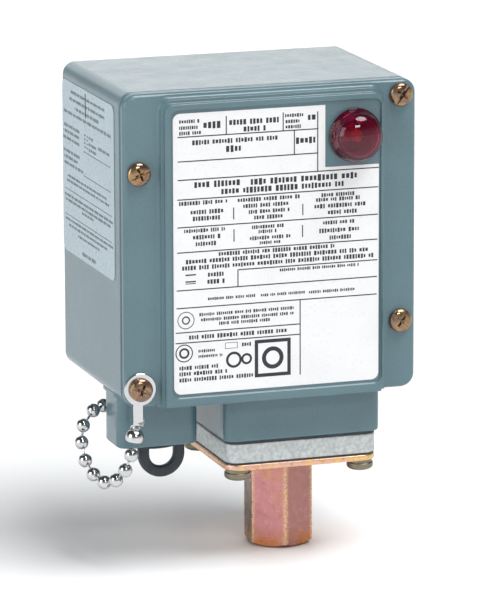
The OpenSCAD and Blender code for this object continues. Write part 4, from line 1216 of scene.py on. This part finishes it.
class PRESSURE_SWITCH_OT_pressure_end(bpy.types.Operator):
    """Build the die-cast block, the clamp plate and the connector"""

    bl_idname = "pressure_switch.pressure_end"
    bl_label = "Pressure end"

    def execute(self, context):
        sizes, _ = settings()
        finished("diaphragm_block", block_mesh(), "housing", [finish("zinc")],
                 ["actuator_housing"])
        finished("clamp_plate", plate_mesh(sizes.plate_edge / MM), "housing",
                 [finish("plate_chromate")], ["flange_plate"])
        finished("port_connector", port_mesh(sizes.hexagon_corner / MM), "housing",
                 [finish("port_chromate")], ["pressure_port"], 22)
        return {"FINISHED"}


class PRESSURE_SWITCH_OT_springs(bpy.types.Operator):
    """Wind the range spring and the differential spring"""

    bl_idname = "pressure_switch.springs"
    bl_label = "Springs"

    def execute(self, context):
        for name, node, nut, at, mean_r, wire, turns in (
                ("range_coil", "range_spring", "range_nut", ACTUATOR, 10.3, 1.4, 6),
                ("differential_coil", "differential_spring", "differential_nut",
                 np.array((-4, ACTUATOR[1])), 2.9, 0.45, 9)):
            lo, hi = span(node)
            path = helix(at, lo[2], hi[2], mean_r, wire, turns)
            coil = finished(name, Solid().skin(tube(path, wire)).mesh(name), None,
                            [finish("spring")], [node], 60)
            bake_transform(coil)
        return {"FINISHED"}


INNER_FINISHES = {
    "cover_gasket": "rubber", "lens_gasket": "rubber", "lamp_socket": "phenolic", "socket_nut": "nickel",
    "neon_lamp": "lamp", "lamp_leads": "lead", "anchor_screw": "nickel", "actuator_gasket": "rubber",
    "diaphragm": "rubber", "flange_lockwashers": "dark_steel", "piston": "steel", "push_rod": "steel",
    "rod_guide": "brass", "mechanism_frame": "plated_zinc", "frame_screws": "nickel",
    "operating_lever": "steel", "lever_pin": "steel",
    "pin_clip": "spring", "range_nut": "brass", "range_screw": "steel",
    "range_scale": "white", "differential_nut": "brass", "differential_screw": "steel",
    "switch_case": "phenolic", "switch_plunger": "white", "contact_bridge": "brass",
    "fixed_contacts": "brass", "terminal_screws": "brass", "switch_mount_screws": "nickel",
    "ground_screw": "green",
}


class PRESSURE_SWITCH_OT_inner_finishes(bpy.types.Operator):
    """Give the machined, pressed and moulded inner pieces their finishes"""

    bl_idname = "pressure_switch.inner_finishes"
    bl_label = "Inner finishes"

    def execute(self, context):
        for node, key in INNER_FINISHES.items():
            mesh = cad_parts[node].data
            if mesh.materials:
                for i in range(len(mesh.materials)):
                    mesh.materials[i] = finish(key)
            else:
                mesh.materials.append(finish(key))
        return {"FINISHED"}


def soft_box(name, location, target, size, watts, colour=(1, 1, 1)):
    """An even rectangular lamp at the location, facing the target."""
    data = bpy.data.lights.new(name, "AREA")
    data.shape, data.size, data.size_y = "RECTANGLE", size[0], size[1]
    data.energy, data.color = watts, colour
    lamp = bpy.data.objects.new(name, data)
    lamp.location = location
    lamp.rotation_euler = (Vector(target) - Vector(location)).to_track_quat("-Z", "Y").to_euler()
    bpy.context.scene.collection.objects.link(lamp)


class PRESSURE_SWITCH_OT_stage(bpy.types.Operator):
    """Lay the floor and set the lights and the camera"""

    bl_idname = "pressure_switch.stage"
    bl_label = "Stage"

    def execute(self, context):
        scene = context.scene
        scene.view_settings.view_transform = "Standard"
        floor = Solid().skin(revolve("z", (0, 0), [
            (PORT_LO[2] - 40, 6000), (PORT_LO[2] - 0.4, 6000), (PORT_LO[2] - 0.4, 0.1)], 96)).mesh("floor")
        ground = Paints("pale_floor", (0.93, 0.94, 0.95), 0.6)
        ground.join(ground.blend(ground.noise(6, 3), (0.93, 0.94, 0.95), (0.90, 0.91, 0.92)), "Base Color")
        floor.materials.append(ground.material)
        stage = bpy.data.objects.new("floor", floor)
        scene.collection.objects.link(stage)

        world = bpy.data.worlds.new("studio")
        scene.world = world
        world.use_nodes = True
        tree = world.node_tree
        back = tree.nodes["Background"]
        where = tree.nodes.new("ShaderNodeTexCoord").outputs["Generated"]
        split = tree.nodes.new("ShaderNodeSeparateXYZ")
        tree.links.new(where, split.inputs[0])
        shade = tree.nodes.new("ShaderNodeMapRange")
        shade.interpolation_type = "SMOOTHSTEP"
        tree.links.new(split.outputs["Z"], shade.inputs["Value"])
        for key, value in (("From Min", 0.0), ("From Max", 0.42), ("To Min", 0.9), ("To Max", 0.10)):
            shade.inputs[key].default_value = value
        tree.links.new(shade.outputs["Result"], back.inputs["Color"])
        back.inputs["Strength"].default_value = 0.72

        soft_box("back_window", (0.5, 1.5, 0.75), (0, 0, 0), (2.2, 1.1), 9)
        soft_box("left_window", (-1.5, -0.4, 0.5), (0, -0.04, -0.02), (1.0, 1.0), 10, (0.92, 0.97, 1.0))
        soft_box("front_window", (0.1, -1.7, 1.0), (0, -0.04, 0.0), (0.5, 0.3), 6, (1.0, 0.95, 0.93))
        high = bpy.data.lights.new("overhead", "SUN")
        high.energy, high.angle = 2.9, math.radians(36)
        overhead = bpy.data.objects.new("overhead", high)
        overhead.rotation_euler = Vector((0.3, -0.35, 1.0)).to_track_quat("Z", "Y").to_euler()
        scene.collection.objects.link(overhead)

        data = bpy.data.cameras.new("camera")
        data.lens, data.sensor_width, data.clip_start, data.clip_end = 298.84, 36.0, 0.05, 50.0
        camera = bpy.data.objects.new("camera", data)
        camera.location = Vector((-549.0, -1685.6, 354.15)) * MM
        aim = Vector((-8.6, -69.8, -20.89)) * MM - camera.location
        level = aim.to_track_quat("-Z", "Y")
        camera.rotation_mode = "QUATERNION"
        camera.rotation_quaternion = level @ Quaternion((0, 0, 1), math.radians(-0.16))
        scene.collection.objects.link(camera)
        scene.camera = camera
        return {"FINISHED"}


class PRESSURE_SWITCH_PT_pieces(bpy.types.Panel):
    """Pieces of the pressure switch and their settings"""

    bl_idname = "PRESSURE_SWITCH_PT_pieces"
    bl_label = "Pressure Switch"
    bl_space_type = "VIEW_3D"
    bl_region_type = "UI"
    bl_category = "Pressure Switch"

    def draw(self, context):
        for group in (context.scene.pressure_switch_sizes, context.scene.pressure_switch_colours):
            box = self.layout.box()
            for key in group.__annotations__:
                box.prop(group, key)
        for operator in OPERATORS:
            self.layout.operator(operator.bl_idname)


OPERATORS = (
    PRESSURE_SWITCH_OT_stage, PRESSURE_SWITCH_OT_case, PRESSURE_SWITCH_OT_cover, PRESSURE_SWITCH_OT_screws,
    PRESSURE_SWITCH_OT_labels, PRESSURE_SWITCH_OT_lens, PRESSURE_SWITCH_OT_chain, PRESSURE_SWITCH_OT_plug,
    PRESSURE_SWITCH_OT_pressure_end, PRESSURE_SWITCH_OT_springs, PRESSURE_SWITCH_OT_inner_finishes,
)
CLASSES = (PressureSwitchSizes, PressureSwitchColours, *OPERATORS, PRESSURE_SWITCH_PT_pieces)


def register():
    for c in CLASSES:
        bpy.utils.register_class(c)
    bpy.types.Scene.pressure_switch_sizes = bpy.props.PointerProperty(type=PressureSwitchSizes)
    bpy.types.Scene.pressure_switch_colours = bpy.props.PointerProperty(type=PressureSwitchColours)


def unregister():
    del bpy.types.Scene.pressure_switch_colours
    del bpy.types.Scene.pressure_switch_sizes
    for c in reversed(CLASSES):
        bpy.utils.unregister_class(c)


def main():
    register()
    make = bpy.ops.pressure_switch
    make.stage()
    make.case()
    make.cover()
    make.screws()
    make.labels()
    make.lens()
    make.chain()
    make.plug()
    make.pressure_end()
    make.springs()
    make.inner_finishes()


if __name__ == "__main__":
    main()
